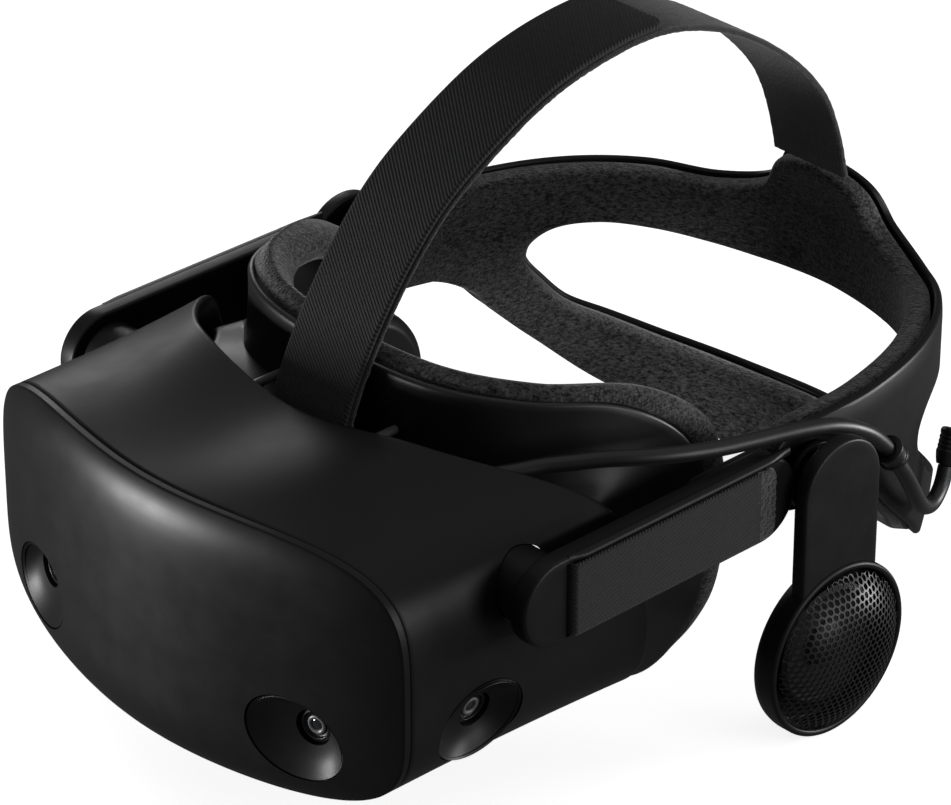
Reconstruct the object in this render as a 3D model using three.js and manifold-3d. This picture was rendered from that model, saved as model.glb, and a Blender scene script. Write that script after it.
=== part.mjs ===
// Virtual reality headset: a visor that tilts between two side arms, a halo headband
// with an open back, a top strap, and two speakers that hang beside the ears.
// Millimetres. -Y is the front of the visor, +X the wearer's left, +Z up.
// The origin lies midway between the side arms, 2 mm below the visor's tilt axis.
import * as THREE from "three";
import { mergeVertices } from "three/addons/utils/BufferGeometryUtils.js";
import Module from "manifold-3d";

const wasm = await Module();
wasm.setup();

// ---- Driving dimensions ----
const GAP = 0.3; // between pieces that touch
const SIDES = [["left", 1], ["right", -1]];

const FACE_HALF = 89.4; // visor half width at its widest
const FACE_TOP = 26;
const FACE_BOTTOM = -60;
const FACE_MID = -22; // height at which the visor is widest
const FACE_Y = -69.8; // front of the faceplate on the centre line
const FACE_WRAP = 18.8; // how far the faceplate falls back at its sides
const FACE_BOW = 53; // the smaller, the straighter its flanks
const FACE_EDGE = 4; // how far it rounds off along its edge
const TOP_CORNERS = 4.4; // exponents of the outline: 2 is an ellipse, more is squarer
const BOTTOM_CORNERS = 4.1;
const WALL = 2.4;
const RIM = 3; // depth of the ring between faceplate and shell
const RIM_W = 6;
const ROUND = 44; // steps round the visor

const DISH_R = 13;
const DISH_STRETCH = 1.25;
const DISH_DEEP = 5;
const DISH_TILT = 12 * Math.PI / 180; // each front dish leans down at its outer end
const DISH_YAW = 15 * Math.PI / 180; // and faces a little outwards, like the faceplate there
const CAMERA_R = 5.5;
const CAMERA_L = 10;
const FRONT_CAMERA = [56.7, -60.4, -38]; // middle of the left front dish
const FRONT_SHIFT = [3.3, 3.1]; // of its camera from there: outwards and up
const SIDE_CAMERA = [87.4, -16.3, -37.1];
const SIDE_SHIFT = [-2.6, -0.7]; // of its camera: forward and up
const SIDE_TILT = 12 * Math.PI / 180; // the side dishes face a little down

const BUTTON_X = [-46, -58];
const BUTTON_Y = 2;
const BUTTON_W = 9;
const BUTTON_D = 5;
const KNOB_Y = -30;
const KNOB_W = 8;
const KNOB_D = 5;

const IPD = 64;
const IPD_TRAVEL = 2; // each lens, either way
const EYE_Z = -17;
const LENS_R = 23;
const BARREL_R = 26;
const LENS_Y = -0.7;
const PINION_R = 4;
const BARREL_FRONT = -35; // where the displays stand
const FRAME_Y = -9;
const CUSHION_DEEP = 12;
const CUSHION_IN = 13;
const CUSHION_MID = 5; // height that its inner side turns towards
const CUSHION_CLEAR = 1.8; // of the gasket's rim

const ARM_X = 103; // outer faces of the side arms
const ARM_T = 6.5;
const ARM_H = 28;
const ARM_END = 96; // rear end of the arms
const HUB_Z = 2; // height of the tilt axis
const PIN_R = 5;
const BOSS_R = 11;
const BOSS_L = 15.5;
const BOSS_FACE = ARM_X - ARM_T - 0.5;
const STRAP_W = 23.5;
const STRAP_T = 1.8;
const STRAP_END = 85.5; // tab end of the side straps
const SLOT_FRONT = 2.4;
const SLOT_REAR = 5.2;
const SLOT_DEEP = 4.6; // the slot is blind, so the tilt hub behind it keeps its wall

const HALO_A = 97; // half width of the halo's outer face
const HALO_B = 112; // half length
const HALO_Y = 114; // centre of its ellipse
const HALO_SHELL = 2.5;
const HALO_PAD = 11; // depth of the pad's inner face below the outer face
const PLATE_T = 3; // plates that carry the halo forward, inside the arms
const PLATE_X = ARM_X - ARM_T - GAP - PLATE_T;
const PLATE_FRONT = 58;
const PLATE_REAR = 91.4;
const HALO_ROUND = 0.92; // 1 makes it an ellipse, less fills out its rear corners
const HALO_STEPS = 60;
const STRETCH = 1.9; // mm of straight band for each degree past the ellipse's widest point

const SPEAKER_Y = 108.5;
const SPEAKER_ARM_X = 105.5; // clear of the side strap as the speaker swings
const SPEAKER_ARM_T = 5;
const SPEAKER_ARM_R = 16;
const PIVOT_Z = -1;
const DRUM_R = 28.5;
const DRUM_Z = -56.5;
const DRUM_X = 100.5;
const DRUM_T = 10.5;
const DOME_H = 8;

const TOP_STRAP_W = 31;
const TOP_STRAP_T = 2.2;
const FOLD_END = 0.58; // share of the strap that the folded upper layer covers
const BAR_X = 24;
const BAR_Y = -1;
const BAR_Z = 16;
const PEG_R = 1.4;
const PEG_Z = 22;
const LEAD_R = 2.5;
const CLIP_AT = 0.72; // share of the lead at which its clip stands
const BOOT_L = 12;

// ---- Materials ----
const finish = (color, roughness, metalness = 0) =>
  new THREE.MeshStandardMaterial({ color, roughness, metalness });
const SHELL = finish(0x1b1b1c, 0.5);
const TRIM = finish(0x262627, 0.45);
const INNER = finish(0x141415, 0.7);
const WEBBING = finish(0x111112, 0.9);
const HEATHER = finish(0x2c2c2e, 0.95);
const MESH = finish(0x161617, 0.6);
const OPTIC = finish(0x30353c, 0.05);
const METAL = finish(0x8d9094, 0.3, 1);
const BOARD = finish(0x14331f, 0.6);
const CORD = finish(0x151516, 0.55);

const headset = new THREE.Group();
function addPiece(name, geometry, material) {
  const mesh = new THREE.Mesh(geometry, material);
  mesh.name = name;
  headset.add(mesh);
}

// ---- Geometry helpers ----
const { sin, cos, abs, sign, PI, max, sqrt, hypot } = Math;
const mix = (a, b, t) => a + (b - a) * t;
const mixPoint = (p, q, t) => p.map((value, i) => mix(value, q[i], t));
const vec = (p) => new THREE.Vector3(...p);

function signedVolume(geometry) {
  const { array } = geometry.getAttribute("position");
  const index = geometry.index.array;
  let six = 0;
  for (let i = 0; i < index.length; i += 3) {
    const [a, b, c] = [0, 1, 2].map((k) => vec(array.slice(index[i + k] * 3, index[i + k] * 3 + 3)));
    six += a.dot(b.cross(c));
  }
  return six / 6;
}

// Turns a geometry whose vertices have been moved into one closed skin that faces out.
function closed(geometry) {
  const bare = geometry.clone();
  bare.deleteAttribute("normal");
  bare.deleteAttribute("uv");
  const merged = mergeVertices(bare, 1e-3);
  const kept = [];
  const index = merged.index.array;
  for (let i = 0; i < index.length; i += 3) {
    const [a, b, c] = index.slice(i, i + 3);
    if (a !== b && b !== c && c !== a) kept.push(a, b, c);
  }
  merged.setIndex(kept);
  if (signedVolume(merged) < 0) {
    for (let i = 0; i < kept.length; i += 3) [kept[i], kept[i + 1]] = [kept[i + 1], kept[i]];
    merged.setIndex(kept);
  }
  merged.computeVertexNormals();
  return merged;
}

// A closed hoop: sections run round it, and each holds the same number of points.
function hoop(sections) {
  const around = sections.length;
  const count = sections[0].length;
  const torus = new THREE.TorusGeometry(2, 1, count, around);
  const { uv, position } = torus.attributes;
  for (let i = 0; i < uv.count; i++) {
    const section = sections[Math.round(uv.getX(i) * around) % around];
    position.setXYZ(i, ...section[Math.round(uv.getY(i) * count) % count]);
  }
  return closed(torus);
}

// A closed disc: rows run from the middle of one face, over the edge, to the middle of the other.
function disc(rows, around, place) {
  const sphere = new THREE.SphereGeometry(1, around, rows.length - 1);
  const { uv, position } = sphere.attributes;
  for (let i = 0; i < uv.count; i++) {
    const row = Math.round((1 - uv.getY(i)) * (rows.length - 1));
    const column = Math.floor((i % (around + 1)) % around);
    position.setXYZ(i, ...place(rows[row], (column / around) * 2 * PI));
  }
  return closed(sphere);
}

function toSolid(geometry) {
  const merged = closed(geometry.index ? geometry : mergeVertices(geometry));
  return new wasm.Manifold(new wasm.Mesh({
    numProp: 3,
    vertProperties: new Float32Array(merged.attributes.position.array),
    triVerts: new Uint32Array(merged.index.array),
  }));
}

function fromSolid(solid) {
  const { vertProperties, triVerts } = solid.getMesh();
  const geometry = new THREE.BufferGeometry();
  geometry.setAttribute("position", new THREE.BufferAttribute(vertProperties, 3));
  geometry.setIndex(new THREE.BufferAttribute(triVerts, 1));
  return geometry;
}

const cut = (body, ...tools) =>
  fromSolid(tools.reduce((left, tool) => left.subtract(toSolid(tool)), toSolid(body)));
const join = (...pieces) => fromSolid(pieces.map(toSolid).reduce((all, next) => all.add(next)));

// Local x, y and z of a flat shape's geometry, turned to the given row axes.
function turned(geometry, x, y, z) {
  return geometry.applyMatrix4(new THREE.Matrix4().makeBasis(vec(x), vec(y), vec(z)));
}
const AXIS = { x: [1, 0, 0], y: [0, 1, 0], z: [0, 0, 1] };

// A plate drawn in Y and Z, from x to x + thickness.
function sidePlate(shape, x, thickness, curveSegments = 12) {
  const plate = new THREE.ExtrudeGeometry(shape, { depth: thickness, bevelEnabled: false, curveSegments });
  return turned(plate, AXIS.y, AXIS.z, AXIS.x).translate(x, 0, 0);
}

// A plate drawn in X and Z, from y to y + thickness.
function crossPlate(shape, y, thickness) {
  const options = { depth: thickness, bevelEnabled: false, curveSegments: 8 };
  const plate = new THREE.ExtrudeGeometry(shape, options);
  return turned(plate, AXIS.x, AXIS.z, [0, -1, 0]).translate(0, y + thickness, 0);
}

function box(low, high) {
  const size = high.map((value, i) => value - low[i]);
  const middle = high.map((value, i) => (value + low[i]) / 2);
  return new THREE.BoxGeometry(...size).translate(...middle);
}

function rod(from, to, radius, sides = 20, endRadius = radius) {
  const along = vec(to).sub(vec(from));
  const geometry = new THREE.CylinderGeometry(endRadius, radius, along.length(), sides);
  geometry.translate(0, along.length() / 2, 0);
  geometry.applyQuaternion(new THREE.Quaternion().setFromUnitVectors(vec(AXIS.y), along.normalize()));
  return geometry.translate(...from);
}

// A body turned from [radius, distance] points, with its axis along a direction.
function turning(profile, from, along, sides = 28) {
  const geometry = new THREE.LatheGeometry(profile.map(([r, h]) => new THREE.Vector2(r, h)), sides);
  geometry.applyQuaternion(new THREE.Quaternion().setFromUnitVectors(vec(AXIS.y), vec(along).normalize()));
  return closed(geometry).translate(...from);
}

function roundedRect(low, high, radius) {
  const [x0, y0] = low;
  const [x1, y1] = high;
  const shape = new THREE.Shape();
  shape.moveTo(x0 + radius, y0);
  shape.lineTo(x1 - radius, y0);
  shape.absarc(x1 - radius, y0 + radius, radius, -PI / 2, 0);
  shape.lineTo(x1, y1 - radius);
  shape.absarc(x1 - radius, y1 - radius, radius, 0, PI / 2);
  shape.lineTo(x0 + radius, y1);
  shape.absarc(x0 + radius, y1 - radius, radius, PI / 2, PI);
  shape.lineTo(x0, y0 + radius);
  shape.absarc(x0 + radius, y0 + radius, radius, PI, PI * 1.5);
  return shape;
}

// A closed loop of points, symmetric about the plane X = 0, from its points on the +X side.
function mirroredLoop(points) {
  const inner = points.slice(1, -1).reverse().map(([x, ...rest]) => [-x, ...rest]);
  return new THREE.CatmullRomCurve3([...points, ...inner].map(vec), true, "centripetal");
}
const loopPoints = (curve, steps) =>
  Array.from({ length: steps }, (_, i) => curve.getPoint(i / steps).toArray());

// Moves a point towards the visor's long axis, by a distance across that axis.
function inward([x, y, z], distance, middle = FACE_MID) {
  const reach = hypot(x, z - middle);
  return [x * (1 - distance / reach), y, middle + (z - middle) * (1 - distance / reach)];
}

// ---- Visor outline ----
function faceOutline(angle) {
  const [c, s] = [cos(angle), sin(angle)];
  const power = s > 0 ? TOP_CORNERS : BOTTOM_CORNERS;
  const reach = (abs(c) ** power + abs(s) ** power) ** (-1 / power);
  const height = s > 0 ? FACE_TOP - FACE_MID : FACE_MID - FACE_BOTTOM;
  return [FACE_HALF * reach * c, FACE_MID + height * reach * s];
}
const bow = (x) => hypot(x, FACE_BOW) - FACE_BOW;
const faceDepth = (x) => FACE_Y + FACE_WRAP * bow(x) / bow(FACE_HALF);

function facePoint(angle, share, depth) {
  const [x, z] = faceOutline(angle);
  const edge = FACE_EDGE * share ** 8;
  return [x * share, faceDepth(x * share) + edge + depth, mix(FACE_MID, z, share)];
}

// Rear edge of the shell, from the nose up to the forehead.
const SHELL_REAR = mirroredLoop([
  [0, 24, -48], [30, 34, -57], [60, 50, -66], [82, 53.5, -53], [88, 51, -22],
  [90.5, 42, -5], [87.5, 35, 12.5], [50, -1.7, 31.6], [0, -9.7, 27.9],
]);

// A point of the shell's outer face: turn is 0 to 1 round it from the nose, back is 0 at the rim.
function shellPoint(turn, back) {
  const front = facePoint(turn * 2 * PI - PI / 2, 1, RIM + GAP);
  const rear = SHELL_REAR.getPoint(turn).toArray();
  return mixPoint(front, rear, back);
}

// Height of the shell's underside at a place: the lowest outer point near it.
function shellUnderside(x, y) {
  const turns = Array.from({ length: 200 }, (_, i) => i / 200);
  const backs = Array.from({ length: 41 }, (_, i) => i / 40);
  const near = turns.flatMap((turn) => backs.map((back) => shellPoint(turn, back)))
    .filter((point) => point[2] < FACE_MID && hypot(point[0] - x, point[1] - y) < 3);
  return near.reduce((sum, point) => sum + point[2], 0) / near.length;
}

function makeFaceplate() {
  const rows = [[0, 0], [0.35, 0], [0.65, 0], [0.85, 0], [0.95, 0], [1, 0.5], [1, WALL],
    [0.95, WALL], [0.7, WALL], [0.35, WALL], [0, WALL]];
  const plate = disc(rows, ROUND, ([share, depth], angle) => facePoint(angle, share, depth));
  const holes = SIDES.map(([, s]) =>
    onFace(s, rod([0, 14, 0], [0, -14, 0], DISH_R + GAP, 28).scale(DISH_STRETCH, 1, 1)));
  addPiece("faceplate", cut(plate, ...holes), SHELL);
}

function makeRim() {
  const sections = Array.from({ length: ROUND }, (_, i) => {
    const angle = (i / ROUND) * 2 * PI;
    const front = facePoint(angle, 1, WALL + GAP);
    const rear = facePoint(angle, 1, RIM);
    return [front, rear, inward(rear, RIM_W), inward(front, RIM_W)];
  });
  addPiece("face_rim", hoop(sections), TRIM);
}

// ---- Cameras ----
// Where a front dish stands: its face is drawn about the origin, looking along -Y.
function onFace(s, geometry) {
  return geometry.rotateY(s * DISH_TILT).rotateZ(s * DISH_YAW)
    .translate(s * FRONT_CAMERA[0], FRONT_CAMERA[1], FRONT_CAMERA[2]);
}

// Where a side dish stands: the same, turned to look outwards and a little down.
function onFlank(s, geometry) {
  return geometry.rotateZ(s * PI / 2).rotateY(s * SIDE_TILT)
    .translate(s * SIDE_CAMERA[0], SIDE_CAMERA[1], SIDE_CAMERA[2]);
}

// A shallow cone that looks along -Y, with its hole moved off its middle.
function dish(shiftX, shiftZ) {
  const hole = CAMERA_R + GAP;
  const profile = [[hole, -DISH_DEEP - 3], [DISH_R, -1.5], [DISH_R, 0], [DISH_R - 1, 0],
    [hole, -DISH_DEEP], [hole, -DISH_DEEP - 3]];
  const cone = turning(profile, [0, 0, 0], [0, -1, 0], 24);
  const { position } = cone.attributes;
  for (let i = 0; i < position.count; i++) {
    const [x, z] = [position.getX(i), position.getZ(i)];
    const inside = (DISH_R - hypot(x, z)) / (DISH_R - hole);
    position.setX(i, x * mix(DISH_STRETCH, 1, inside) + shiftX * inside);
    position.setZ(i, z + shiftZ * inside);
  }
  return cone;
}

function cameraBarrel(shiftX, shiftZ) {
  const low = -DISH_DEEP - CAMERA_L + 1;
  const profile = [[0, low], [CAMERA_R, low], [CAMERA_R, -DISH_DEEP + 1],
    [CAMERA_R - 1.5, -DISH_DEEP + 1], [CAMERA_R - 2.4, -DISH_DEEP - 0.5], [0, -DISH_DEEP]];
  return turning(profile, [shiftX, 0, shiftZ], [0, -1, 0], 14);
}

function makeCameras() {
  for (const [side, s] of SIDES) {
    const front = [s * FRONT_SHIFT[0], FRONT_SHIFT[1]];
    addPiece(`camera_dish_front_${side}`, onFace(s, dish(...front)), SHELL);
    addPiece(`camera_front_${side}`, onFace(s, cameraBarrel(...front)), OPTIC);
    const flank = [s * -SIDE_SHIFT[0], SIDE_SHIFT[1]];
    addPiece(`camera_dish_side_${side}`, onFlank(s, dish(...flank)), SHELL);
    addPiece(`camera_side_${side}`, onFlank(s, cameraBarrel(...flank)), OPTIC);
  }
}

// ---- Shell ----
function shellWall() {
  const sections = Array.from({ length: ROUND }, (_, i) => {
    const outer = [0, 0.35, 0.7, 1].map((back) => shellPoint(i / ROUND, back));
    return [...outer, ...outer.toReversed().map((point) => inward(point, WALL))];
  });
  return hoop(sections);
}

function makeShell() {
  const cameraHoles = SIDES.map(([, s]) =>
    onFlank(s, rod([0, 20, 0], [0, -12, 0], DISH_R + GAP, 28).scale(DISH_STRETCH, 1, 1)));
  const buttonHoles = BUTTON_X.map((x) =>
    box([x - BUTTON_W / 2 - GAP, BUTTON_Y - BUTTON_D / 2 - GAP, -75],
      [x + BUTTON_W / 2 + GAP, BUTTON_Y + BUTTON_D / 2 + GAP, -50]));
  const slot = KNOB_W / 2 + IPD_TRAVEL + GAP;
  const knobSlot = box([-IPD / 2 - slot, KNOB_Y - KNOB_D / 2 - GAP, -80],
    [-IPD / 2 + slot, KNOB_Y + KNOB_D / 2 + GAP, -46]);
  const hubHoles = SIDES.map(([, s]) => rod([s * 70, 0, HUB_Z], [s * 99, 0, HUB_Z], BOSS_R + GAP, 28));
  addPiece("main_shell", cut(shellWall(), ...cameraHoles, ...buttonHoles, knobSlot, ...hubHoles), SHELL);
}

// ---- Tilt hubs ----
function makeHubs() {
  const hole = PIN_R + GAP;
  const boss = [[hole, 0], [BOSS_R, 0], [BOSS_R, BOSS_L - 1], [BOSS_R - 1, BOSS_L], [hole, BOSS_L],
    [hole, 0]];
  for (const [side, s] of SIDES) {
    const at = (x) => [s * x, 0, HUB_Z];
    addPiece(`hub_boss_${side}`, turning(boss, at(BOSS_FACE - BOSS_L), [s, 0, 0], 22), SHELL);
    addPiece(`hub_pin_${side}`, rod(at(BOSS_FACE - 14), at(ARM_X - ARM_T - GAP), PIN_R, 16), METAL);
  }
}

// ---- Optics inside the visor ----
function makeInnerFrame() {
  const shape = roundedRect([-70, -46.5], [70, 13], 20);
  const holes = SIDES.map(([, s]) => {
    const half = BARREL_R + IPD_TRAVEL + 1;
    const high = BARREL_R + 1;
    return roundedRect([s * IPD / 2 - half, EYE_Z - high], [s * IPD / 2 + half, EYE_Z + high], BARREL_R);
  });
  shape.holes.push(...holes);
  addPiece("inner_frame", crossPlate(shape, FRAME_Y, WALL), INNER);
}

function makeOptics() {
  const barrel = [[LENS_R + GAP, 0], [BARREL_R, 0], [BARREL_R, 42], [LENS_R - 2, 42], [LENS_R - 2, 39.5],
    [LENS_R + GAP, 39.5], [LENS_R + GAP, 0]];
  const lens = [[0, -4], [12, -2.8], [LENS_R, 0], [LENS_R, 3], [12, 5.2], [0, 6]];
  const displayFront = BARREL_FRONT - 4;
  const rackFront = displayFront - 2.5;
  for (const [side, s] of SIDES) {
    const x = s * IPD / 2;
    addPiece(`lens_barrel_${side}`, turning(barrel, [x, BARREL_FRONT, EYE_Z], AXIS.y, 28), INNER);
    addPiece(`eye_lens_${side}`, turning(lens, [x, LENS_Y, EYE_Z], AXIS.y, 24), OPTIC);
    const panel = box([x - 27, displayFront, EYE_Z - 28], [x + 27, BARREL_FRONT - GAP, EYE_Z + 28]);
    addPiece(`display_${side}`, panel, METAL);
    const rackZ = EYE_Z + s * (PINION_R + GAP + 1);
    const ends = s > 0 ? [-12, 22] : [-22, 12];
    const rack = box([ends[0], rackFront, rackZ - 1], [ends[1], displayFront - GAP, rackZ + 1]);
    addPiece(`rack_${side}`, rack, METAL);
  }
  addPiece("ipd_pinion", rod([0, rackFront, EYE_Z], [0, displayFront - GAP, EYE_Z], PINION_R), METAL);
  addPiece("main_board", box([-50, -50, -28], [40, -48.5, 12]), BOARD);
}

// The knob and the buttons stand half a millimetre or more out of the visor's underside.
function makeKnobAndButtons() {
  const x = -IPD / 2;
  const under = shellUnderside(x, KNOB_Y);
  const stem = box([x - 1.5, KNOB_Y - 1.5, under + 2], [x + 1.5, KNOB_Y + 1.5, EYE_Z - BARREL_R - GAP]);
  const grip = box([x - KNOB_W / 2, KNOB_Y - KNOB_D / 2, under - 2.5],
    [x + KNOB_W / 2, KNOB_Y + KNOB_D / 2, under + 3]);
  addPiece("ipd_knob", join(stem, grip), TRIM);
  for (const [i, name] of ["volume_down", "volume_up"].entries()) {
    const bx = BUTTON_X[i];
    const low = shellUnderside(bx, BUTTON_Y) - 0.8;
    const cap = box([bx - BUTTON_W / 2, BUTTON_Y - BUTTON_D / 2, low],
      [bx + BUTTON_W / 2, BUTTON_Y + BUTTON_D / 2, low + 8]);
    addPiece(name, cap, TRIM);
  }
}

// ---- Face gasket ----
// Three lines round it: the edge of its flange, the foot of its wall and the wall's rim.
const GASKET_FLANGE = mirroredLoop([
  [0, 10.5, -32], [24, 17, -47], [50, 26, -54], [72, 32, -48], [80, 34, -24], [81, 33, -3],
  [78, 27, 8], [70, 22, 12], [55, 8, 15], [30, 3, 14.5], [0, 2.5, 13.5],
]);
const GASKET_FOOT = mirroredLoop([
  [0, 15, -27], [20, 25, -42], [46, 36, -53], [68, 42, -51], [79, 44, -28], [80, 43, -4],
  [76, 38, 8], [66, 29, 11], [52, 18, 14.5], [30, 12, 15], [0, 11, 14],
]);
const GASKET_RIM = mirroredLoop([
  [0, 20, -22], [16, 36, -42], [42, 54, -61], [68, 63, -66], [82, 74, -44], [82, 80, -12],
  [79, 76, 13], [74, 54, 31.6], [60.3, 26.8, 37.7], [38, 13, 38.7], [0, 11, 37],
]);

// Away from the visor, square to the rim where the cushion sits: back, and a little up.
const towardsHead = ([x, y, z], distance) => [x, y + distance * 0.85, z + distance * 0.35];

// Direction square to rows of points laid over a surface, towards its inner side.
function across(rows, k, i) {
  const count = rows[k].length;
  const around = vec(rows[k][(i + 1) % count]).sub(vec(rows[k][(i + count - 1) % count]));
  const ahead = vec(rows[Math.min(k + 1, rows.length - 1)][i]).sub(vec(rows[max(k - 1, 0)][i]));
  return around.cross(ahead).normalize();
}

// A wall laid over rows of points, each row running round the same way, thickened to its inner side.
function skin(rows, thickness) {
  const count = rows[0].length;
  const inner = rows.map((row, k) =>
    row.map((point, i) => vec(point).addScaledVector(across(rows, k, i), thickness).toArray()));
  const all = [...rows, ...inner.toReversed()];
  return hoop(Array.from({ length: count }, (_, i) => all.map((row) => row[i])));
}

function makeGasket() {
  const [flange, foot, rim] = [GASKET_FLANGE, GASKET_FOOT, GASKET_RIM].map((line) => loopPoints(line, ROUND));
  const middle = foot.map((point, i) => mixPoint(point, rim[i], 0.5));
  const rows = [flange, foot, middle, rim];
  addPiece("gasket_frame", skin(rows, WALL), TRIM);
  const cushion = rim.map((point, i) => {
    const overhang = max(0, vec(towardsHead([0, 0, 0], WALL)).dot(across(rows, 3, i)));
    const base = towardsHead(point, CUSHION_CLEAR + overhang);
    const far = towardsHead(point, CUSHION_DEEP);
    const shoulder = mixPoint(base, far, 0.7);
    const within = (from, distance) => inward(from, distance, CUSHION_MID);
    return [base, shoulder, within(far, 3), within(far, CUSHION_IN - 3),
      within(shoulder, CUSHION_IN), within(base, CUSHION_IN)];
  });
  addPiece("gasket_cushion", hoop(cushion), HEATHER);
}

// ---- Side arms and straps ----
function makeArms() {
  const shape = roundedRect([-ARM_H / 2, HUB_Z - ARM_H / 2], [ARM_END, HUB_Z + ARM_H / 2], ARM_H / 2 - 0.01);
  const plate = roundedRect([PLATE_FRONT, HUB_Z - 12.5], [PLATE_REAR, HUB_Z + 12.5], 5);
  const slotHalf = STRAP_W / 2 + GAP;
  for (const [side, s] of SIDES) {
    const x = s > 0 ? ARM_X - ARM_T : -ARM_X;
    const slot = box([s * ARM_X - SLOT_DEEP, SLOT_FRONT, HUB_Z - slotHalf],
      [s * ARM_X + SLOT_DEEP, SLOT_REAR, HUB_Z + slotHalf]);
    addPiece(`side_arm_${side}`, cut(sidePlate(shape, x, ARM_T, 7), slot), SHELL);
    const plateX = s > 0 ? PLATE_X : -PLATE_X - PLATE_T;
    addPiece(`band_plate_${side}`, sidePlate(plate, plateX, PLATE_T, 4), SHELL);
  }
}

// The strap is folded into the arm's slot and runs back along the arm's outer face.
function makeSideStraps() {
  const root = ARM_X - SLOT_DEEP + GAP;
  const under = ARM_X + GAP;
  const over = under + STRAP_T;
  const bend = SLOT_REAR - GAP;
  const front = bend - STRAP_T;
  const path = [[root, bend], [under, bend], [under, STRAP_END], [over, STRAP_END], [over, front + 1],
    [over - 1, front], [root, front]];
  for (const [side, s] of SIDES) {
    const shape = new THREE.Shape(path.map(([x, y]) => new THREE.Vector2(s * x, y)));
    const strap = new THREE.ExtrudeGeometry(shape, { depth: STRAP_W, bevelEnabled: false });
    addPiece(`side_strap_${side}`, strap.translate(0, 0, HUB_Z - STRAP_W / 2), WEBBING);
  }
}

// ---- Halo headband ----
// Points of its outline as [degrees from the back, height], from below up to the rear tab.
const HALO_EDGE = mirroredLoop([
  [0, -84, 0], [25, -80, 0], [49, -65, 0], [64, -46, 0], [72, -33, 0], [78, -22, 0], [88, -13, 0],
  [99, -10, 0], [99, 14, 0], [80, 15.5, 0], [60, 14.5, 0], [40, 12, 0], [26, 9.5, 0], [14.5, 14.5, 0],
  [9.3, 27, 0], [0, 30.5, 0],
]);
// The opening in the back, point for point.
const HALO_OPENING = mirroredLoop([
  [0, -59, 0], [16, -58, 0], [34, -52, 0], [48, -43, 0], [55, -37, 0], [60, -28, 0], [62.5, -22, 0],
  [63, -18, 0], [62, -13, 0], [58, -8.5, 0], [50, -7.5, 0], [38, -10, 0], [26, -13, 0], [16, -15, 0],
  [8, -16, 0], [0, -16, 0],
]);

function haloPoint([degrees, z], depth) {
  const lean = z > 8 ? 9 * ((z - 8) / 25) ** 2 : 9 * (max(0, -35 - z) / 49) ** 2;
  const a = HALO_A - depth - lean;
  const b = HALO_B - depth - lean;
  const past = abs(degrees) - 90;
  if (past > 0) return [sign(degrees) * (a - past * 0.08), HALO_Y - past * STRETCH, z];
  const turn = degrees * PI / 180;
  const side = sign(turn) * abs(sin(turn)) ** HALO_ROUND;
  return [a * side, HALO_Y + b * max(0, cos(turn)) ** HALO_ROUND, z];
}

function haloBand(shallow, deep, inset) {
  const edge = loopPoints(HALO_EDGE, HALO_STEPS);
  const opening = loopPoints(HALO_OPENING, HALO_STEPS);
  const sections = edge.map((point, i) => {
    const outer = [inset, 0.3, 0.65, 1 - inset].map((t) => mixPoint(point, opening[i], t));
    const inner = outer.toReversed();
    return [...outer.map((p) => haloPoint(p, shallow)), ...inner.map((p) => haloPoint(p, deep))];
  });
  return hoop(sections);
}

function makeHalo() {
  addPiece("halo_shell", haloBand(0, HALO_SHELL, 0), SHELL);
  addPiece("halo_pad", haloBand(HALO_SHELL + 4 * GAP, HALO_PAD, 0.03), HEATHER);
}

// ---- Top strap ----
const STRAP_PATH = new THREE.CatmullRomCurve3([
  [-0.5, 19.4], [2, 27.5], [11, 45], [24, 63.5], [37, 77.5], [51, 87.5], [79, 101.5], [105, 107.5],
  [127, 108], [148, 102.5], [168, 92], [187, 77], [199.5, 62], [206, 47], [210, 31.6],
].map(([y, z]) => new THREE.Vector3(0, y, z)));

function ribbon(to, lift, thickness, steps) {
  const rows = Array.from({ length: steps + 1 }, (_, i) => {
    const at = STRAP_PATH.getPointAt((i / steps) * to);
    const along = STRAP_PATH.getTangentAt((i / steps) * to);
    return { at, out: new THREE.Vector3(0, -along.z, along.y) };
  });
  const offset = (distance) => ({ at, out }) =>
    new THREE.Vector2(at.y + out.y * distance, at.z + out.z * distance);
  const outline = [...rows.map(offset(lift)), ...rows.toReversed().map(offset(lift + thickness))];
  return sidePlate(new THREE.Shape(outline), -TOP_STRAP_W / 2, TOP_STRAP_W);
}

function makeTopStrap() {
  const bar = rod([-BAR_X, BAR_Y, BAR_Z], [BAR_X, BAR_Y, BAR_Z], 1.6, 12);
  const legs = SIDES.map(([, s]) => rod([s * BAR_X, BAR_Y, BAR_Z - 1], [s * BAR_X, BAR_Y, PEG_Z], 1.3, 10));
  const pegs = SIDES.map(([, s]) => rod([s * BAR_X, -12, PEG_Z], [s * BAR_X, 10, PEG_Z], PEG_R, 12));
  addPiece("strap_bar", join(bar, ...legs, ...pegs), METAL);
  addPiece("top_strap", ribbon(1, -TOP_STRAP_T / 2, TOP_STRAP_T, 34), WEBBING);
  addPiece("top_strap_fold", ribbon(FOLD_END, TOP_STRAP_T / 2 + GAP, TOP_STRAP_T, 20), WEBBING);
}

// ---- Speakers ----
function speakerArmShape() {
  const shape = new THREE.Shape();
  const half = SPEAKER_ARM_R;
  const drop = sqrt((DRUM_R + GAP) ** 2 - half ** 2);
  shape.moveTo(SPEAKER_Y + half, DRUM_Z + drop);
  shape.lineTo(SPEAKER_Y + half, PIVOT_Z);
  shape.absarc(SPEAKER_Y, PIVOT_Z, half, 0, PI);
  shape.lineTo(SPEAKER_Y - half, DRUM_Z + drop);
  const start = Math.atan2(drop, -half);
  shape.absarc(SPEAKER_Y, DRUM_Z, DRUM_R + GAP, start, PI - start, true);
  return shape;
}

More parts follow.
